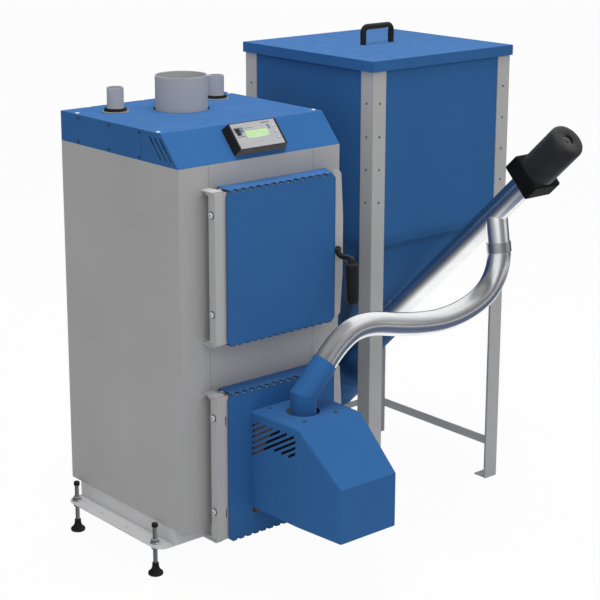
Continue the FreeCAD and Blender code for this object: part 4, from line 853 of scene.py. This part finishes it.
def make_controller_details():
    run, rise = HOOD_SLOPE
    angle = math.atan2(rise, run)
    y = CONTROLLER_UP_SLOPE * math.cos(angle)
    z = HOOD_BOTTOM + CONTROLLER_UP_SLOPE * math.sin(angle)
    tilt = Matrix.Translation(at_boiler(CONTROLLER_LEFT, y, z)) @ Matrix.Rotation(angle, 4, "X")

    build = bmesh.new()
    for material, marks in enumerate((BLUE_MARKS, DARK_MARKS)):
        for low, high in marks:
            slab(build, tilt, (*low, FACE_HEIGHT), (*high, FACE_HEIGHT + MARK_THICKNESS), material)
    finish_piece("controller_print", build, [print_blue, print_dark], "boiler")

    build = bmesh.new()
    border(build, tilt, (40.6, 27.6), (113.4, 52.4), width=1.4, proud=0.7, round_by=0.25)
    finish_piece("display_frame", build, [button_grey], "boiler")

    build = bmesh.new()
    border(build, tilt, (16.4, 38.4), (29.6, 60.6), width=1.0, proud=1.0, round_by=0.3)
    finish_piece("rocker_bezel", build, [black_plastic], "boiler")

    build = bmesh.new()
    rim = rows(0, (3.5, -SUNK), (4.6, -SUNK), (4.6, 0.3), (4.1, 0.7), (3.5, 0.5), (3.5, -SUNK))
    for index in range(3):
        place = Vector((BUTTON_COLUMN, BUTTON_START + BUTTON_STEP * index, FACE_HEIGHT)) * MM
        lathe(build, tilt @ Matrix.Translation(place), rim)
    lamp = rows(1, (1.5, -SUNK), (1.5, 0.4), (0.9, 0.9), (0, 1.0))
    for x in LAMP_COLUMNS:
        place = Vector((x, LAMP_ROW, FACE_HEIGHT)) * MM
        lathe(build, tilt @ Matrix.Translation(place), lamp, segments=16)
    finish_piece("controller_rims", build, [silver_face, lamp_green], "boiler")


# Auger motor: rounded can with a recessed connector in its end
def make_motor():
    black = 0
    ring = 1
    plug = 2
    profile = rows(black, (0, 0), (46, 0), (46, 116), (45.2, 120.5), (43.0, 124.3), (39.5, 126.7))
    profile += rows(black, (35.5, 127.5), (15.5, 127.5), (14.5, 127.0), (14.0, 119.0))
    profile += rows(ring, (11.5, 118.6), (11.0, 121.0), (9.5, 121.6))
    profile += rows(plug, (8.5, 120.0), (5.0, 120.0), (4.0, 123.0), (0, 123.4))
    along = Vector((0, -math.cos(AUGER_RISE), math.sin(AUGER_RISE)))
    start = at_hopper(*AUGER_START) + along * (AUGER_LENGTH + GEARBOX_LENGTH) * MM
    places = [(start, along)]
    stuff = [motor_black, brass, teal]
    make_turned("auger_motor_can", places, profile, stuff, "boiler", ["auger_motor"], 64)


# Floor and world: white where they are looked at, a plain level of light on the object
FLOOR_HALF = 14
FLOOR_HEIGHT = -0.0005
FLOOR_SHADES = [(0.3, (0.87, 0.87, 0.87)), (0.7, (0.90, 0.90, 0.90))]
FLOOR_WHITE_SHARE = 0.96
WORLD_LIGHT = 0.40


def seen_rays(tree):
    """One for rays that look at the background straight, in gloss or through glass."""
    path = tree.nodes.new("ShaderNodeLightPath")
    first = add(tree, "ShaderNodeMath", operation="MAXIMUM")
    second = add(tree, "ShaderNodeMath", operation="MAXIMUM")
    tree.links.new(path.outputs["Is Camera Ray"], first.inputs[0])
    tree.links.new(path.outputs["Is Glossy Ray"], first.inputs[1])
    tree.links.new(first.outputs[0], second.inputs[0])
    tree.links.new(path.outputs["Is Transmission Ray"], second.inputs[1])
    return second.outputs[0]


def mix_shaders(tree, factor, first, second, output):
    mix = tree.nodes.new("ShaderNodeMixShader")
    tree.links.new(factor, mix.inputs["Fac"])
    tree.links.new(first, mix.inputs[1])
    tree.links.new(second, mix.inputs[2])
    tree.links.new(mix.outputs["Shader"], tree.nodes[output].inputs["Surface"])


def make_floor():
    mesh = bpy.data.meshes.new("floor")
    build = bmesh.new()
    bmesh.ops.create_grid(build, x_segments=8, y_segments=8, size=FLOOR_HALF)
    build.to_mesh(mesh)
    build.free()
    floor = bpy.data.objects.new("floor", mesh)
    floor.location = (0, 0, FLOOR_HEIGHT)
    scene.collection.objects.link(floor)
    material, tree, shader = new_material("pale_floor")
    shader.inputs["Roughness"].default_value = 0.9
    shader.inputs["Specular IOR Level"].default_value = 0.1
    clouds = noise(tree, object_coords(tree), scale=2, detail=3)
    connect(tree, shader, Base_Color=ramp(tree, clouds, FLOOR_SHADES))
    white = add(tree, "ShaderNodeEmission", Strength=1.0)
    share = add(tree, "ShaderNodeMath", operation="MULTIPLY")
    share.inputs[1].default_value = FLOOR_WHITE_SHARE
    tree.links.new(seen_rays(tree), share.inputs[0])
    lit = shader.outputs["BSDF"]
    mix_shaders(tree, share.outputs[0], lit, white.outputs["Emission"], "Material Output")
    mesh.materials.append(material)


def make_world():
    world = bpy.data.worlds.new("studio")
    scene.world = world
    world.use_nodes = True
    tree = world.node_tree
    light = tree.nodes["Background"]
    light.inputs["Color"].default_value = (1, 1, 1, 1)
    light.inputs["Strength"].default_value = WORLD_LIGHT
    plain = add(tree, "ShaderNodeBackground", Color=(1, 1, 1, 1), Strength=1.0)
    outputs = (light.outputs["Background"], plain.outputs["Background"])
    mix_shaders(tree, seen_rays(tree), *outputs, "World Output")


# Painted reflections: a glowing studio cove that the bright tubes mirror, its walls by degrees from the
# front towards the right
TO_RIGHT = (0.773, -0.634, 0)
TO_FRONT = (-0.634, -0.773, 0)
NONE = (0.0, 0.0, 0.0)
FULL = (1.0, 1.0, 1.0)
LOW_WALL = [
    (-180, (0.02, 0.05, 0.13)),
    (-110, (0.04, 0.07, 0.15)),
    (-86, (0.12, 0.14, 0.19)),
    (-60, (0.25, 0.27, 0.31)),
    (20, (0.20, 0.20, 0.21)),
    (52, (0.14, 0.14, 0.16)),
    (60, (0.88, 0.88, 0.92)),
    (96, (0.88, 0.88, 0.92)),
    (106, (0.06, 0.06, 0.07)),
    (180, (0.02, 0.05, 0.13)),
]
BAND_WALL = [
    (-180, (0.02, 0.05, 0.13)),
    (-110, (0.03, 0.06, 0.14)),
    (-60, (0.26, 0.29, 0.34)),
    (-20, (0.22, 0.22, 0.23)),
    (20, (0.10, 0.10, 0.11)),
    (100, (0.10, 0.10, 0.11)),
    (180, (0.02, 0.05, 0.13)),
]
MIDDLE_WALL = [
    (-180, (0.012, 0.045, 0.12)),
    (-112, (0.012, 0.045, 0.12)),
    (-66, (0.20, 0.23, 0.28)),
    (-46, (0.80, 0.80, 0.82)),
    (-30, (0.98, 0.98, 0.98)),
    (8, (0.98, 0.98, 0.98)),
    (26, (0.42, 0.42, 0.43)),
    (46, (0.22, 0.22, 0.23)),
    (64, (0.22, 0.22, 0.23)),
    (82, (0.80, 0.80, 0.82)),
    (98, (0.75, 0.75, 0.77)),
    (124, (0.10, 0.11, 0.14)),
    (180, (0.012, 0.045, 0.12)),
]
HIGH_WALL = [
    (-180, (0.97, 0.97, 0.97)),
    (-168, (0.97, 0.97, 0.97)),
    (-150, (0.16, 0.16, 0.17)),
    (10, (0.18, 0.18, 0.19)),
    (60, (0.45, 0.45, 0.46)),
    (100, (0.97, 0.97, 0.97)),
    (180, (0.97, 0.97, 0.97)),
]
CEILING = [
    (-180, (0.97, 0.97, 0.97)),
    (-165, (0.97, 0.97, 0.97)),
    (-145, (0.30, 0.30, 0.31)),
    (10, (0.30, 0.30, 0.31)),
    (35, (0.60, 0.60, 0.61)),
    (100, (0.97, 0.97, 0.97)),
    (180, (0.97, 0.97, 0.97)),
]
RIGHT_SHARE = [(-180, NONE), (28, NONE), (50, FULL), (100, FULL), (130, NONE), (180, NONE)]

# Heights in metres over which one wall passes into the next
GROUND_TO_LOW = (0.02, 0.03)
LOW_TO_BAND = (0.12, 0.22)
BAND_TO_MIDDLE = (0.45, 0.65)
MIDDLE_TO_HIGH = (1.75, 2.05)
HIGH_TO_CEILING = (4.8, 6.2)

# The right wall by height, the ground by distance, and the ground behind from left to right
RIGHT_WALL_SPAN = (0.0, 6.0)
RIGHT_WALL = [
    (0.0, (0.10, 0.10, 0.105)),
    (0.17, (0.14, 0.14, 0.145)),
    (0.27, (0.22, 0.22, 0.225)),
    (0.40, (0.32, 0.32, 0.325)),
    (0.73, (0.58, 0.58, 0.585)),
    (1.0, (0.85, 0.85, 0.85)),
]
GROUND_SPAN = (0.0, 3.5)
GROUND = [
    (0.0, (0.20, 0.24, 0.32)),
    (0.29, (0.09, 0.12, 0.19)),
    (0.43, (0.12, 0.14, 0.19)),
    (0.57, (0.16, 0.17, 0.20)),
    (0.70, (0.45, 0.46, 0.49)),
    (0.87, (0.58, 0.58, 0.61)),
    (1.0, (0.60, 0.60, 0.63)),
]
BACK_GROUND_SPAN = (-1.7, 2.3)
BACK_GROUND = [
    (0.0, (0.02, 0.05, 0.13)),
    (0.18, (0.03, 0.06, 0.13)),
    (0.25, (0.095, 0.105, 0.13)),
    (0.305, (0.16, 0.165, 0.185)),
    (0.36, (0.31, 0.31, 0.32)),
    (0.41, (0.68, 0.68, 0.69)),
    (0.46, (0.98, 0.98, 0.98)),
    (0.78, (1.0, 1.0, 1.0)),
    (0.90, (0.40, 0.40, 0.42)),
    (1.0, (0.30, 0.30, 0.32)),
]
FRONT_TO_BACK_GROUND = (-0.34, -0.26)

# The cove's outline as (radius, height) in metres
COVE_SIDES = 48
COVE_OUTLINE = [
    (0.01, 0.004),
    (1.6, 0.004),
    (2.4, 0.005),
    (2.9, 0.006),
    (3.4, 0.02),
    (3.6, 0.4),
    (3.9, 1.2),
    (4.3, 2.5),
    (4.6, 4.0),
    (4.6, 6.0),
    (4.0, 7.5),
    (2.5, 9.0),
    (0.01, 9.5),
]


def make_backdrop():
    """A glowing cove that shows only in reflections: its colours are painted reflections for the bright
    tubes.
    """
    build = bmesh.new()
    rings = []
    for radius, height in COVE_OUTLINE:
        ring = []
        for step in range(COVE_SIDES):
            angle = 2 * math.pi * step / COVE_SIDES
            ring.append(build.verts.new((radius * math.cos(angle), radius * math.sin(angle), height)))
        rings.append(ring)
    for low, high in zip(rings, rings[1:]):
        skin(build, low, high, 0)
    mesh = bpy.data.meshes.new("cove")
    build.to_mesh(mesh)
    build.free()
    mesh.materials.append(cove_material())
    cove = bpy.data.objects.new("cove", mesh)
    scene.collection.objects.link(cove)
    cove.visible_camera = False
    cove.visible_diffuse = False
    cove.visible_transmission = False
    cove.visible_volume_scatter = False
    cove.visible_shadow = False


def blend(tree, factor, first, second):
    node = add(tree, "ShaderNodeMix", data_type="RGBA")
    tree.links.new(factor, node.inputs["Factor"])
    ends = [socket for socket in node.inputs if socket.type == "RGBA"]
    for socket, colour in zip(ends, (first, second)):
        tree.links.new(colour, socket)
    return [socket for socket in node.outputs if socket.type == "RGBA"][0]


def cove_material():
    material, tree, shader = new_material("cove_shade")
    tree.nodes.remove(shader)
    place = tree.nodes.new("ShaderNodeTexCoord").outputs["Object"]
    split = tree.nodes.new("ShaderNodeSeparateXYZ")
    tree.links.new(place, split.inputs["Vector"])
    height = split.outputs["Z"]
    distance = add(tree, "ShaderNodeVectorMath", operation="LENGTH")
    tree.links.new(place, distance.inputs[0])
    angle = add(tree, "ShaderNodeMath", operation="ARCTAN2")
    for socket, axis in zip(angle.inputs, (TO_RIGHT, TO_FRONT)):
        dot = add(tree, "ShaderNodeVectorMath", operation="DOT_PRODUCT")
        dot.inputs[1].default_value = axis
        tree.links.new(place, dot.inputs[0])
        tree.links.new(dot.outputs["Value"], socket)
    around = spread(tree, angle.outputs[0], (-math.pi, math.pi))

    def by_direction(stops):
        return ramp(tree, around, [((degrees + 180) / 360, colour) for degrees, colour in stops])

    def by_height(span, below, above):
        return blend(tree, spread(tree, height, span), below, above)

    high = by_height(HIGH_TO_CEILING, by_direction(HIGH_WALL), by_direction(CEILING))
    right = ramp(tree, spread(tree, height, RIGHT_WALL_SPAN), RIGHT_WALL)
    high = blend(tree, by_direction(RIGHT_SHARE), high, right)
    wall = by_height(LOW_TO_BAND, by_direction(LOW_WALL), by_direction(BAND_WALL))
    wall = by_height(BAND_TO_MIDDLE, wall, by_direction(MIDDLE_WALL))
    wall = by_height(MIDDLE_TO_HIGH, wall, high)
    ground = ramp(tree, spread(tree, distance.outputs["Value"], GROUND_SPAN), GROUND)
    behind = ramp(tree, spread(tree, split.outputs["X"], BACK_GROUND_SPAN), BACK_GROUND)
    ground = blend(tree, spread(tree, split.outputs["Y"], FRONT_TO_BACK_GROUND), ground, behind)
    # The cove glows with its painted reflection colours, though it is no lamp
    glow = add(tree, "ShaderNodeEmission", Strength=1.0)
    tree.links.new(by_height(GROUND_TO_LOW, ground, wall), glow.inputs["Color"])
    tree.links.new(glow.outputs["Emission"], tree.nodes["Material Output"].inputs["Surface"])
    return material


# Soft square lamps
def make_lamp(name, place, target, size, power):
    data = bpy.data.lights.new(name, "AREA")
    data.shape = "RECTANGLE"
    data.size = size
    data.size_y = size
    data.energy = power
    lamp = bpy.data.objects.new(name, data)
    lamp.location = place
    aim = Vector(target) - Vector(place)
    lamp.rotation_euler = aim.to_track_quat("-Z", "Y").to_euler()
    lamp.visible_glossy = False
    scene.collection.objects.link(lamp)


make_camera()
make_hose()
dress_nodes()
make_screws()
make_rivets_and_bolts()
make_hood_trim()
make_feet()
make_handles()
make_door_insides()
make_blanket()
make_controller_details()
make_motor()
make_floor()
make_world()
make_backdrop()
make_lamp("key", place=(-2.0, -3.4, 3.4), target=(0, 0, 0.6), size=2.2, power=30)
make_lamp("top", place=(-0.1, 0.0, 4.2), target=(0, 0, 0.8), size=2.5, power=88)
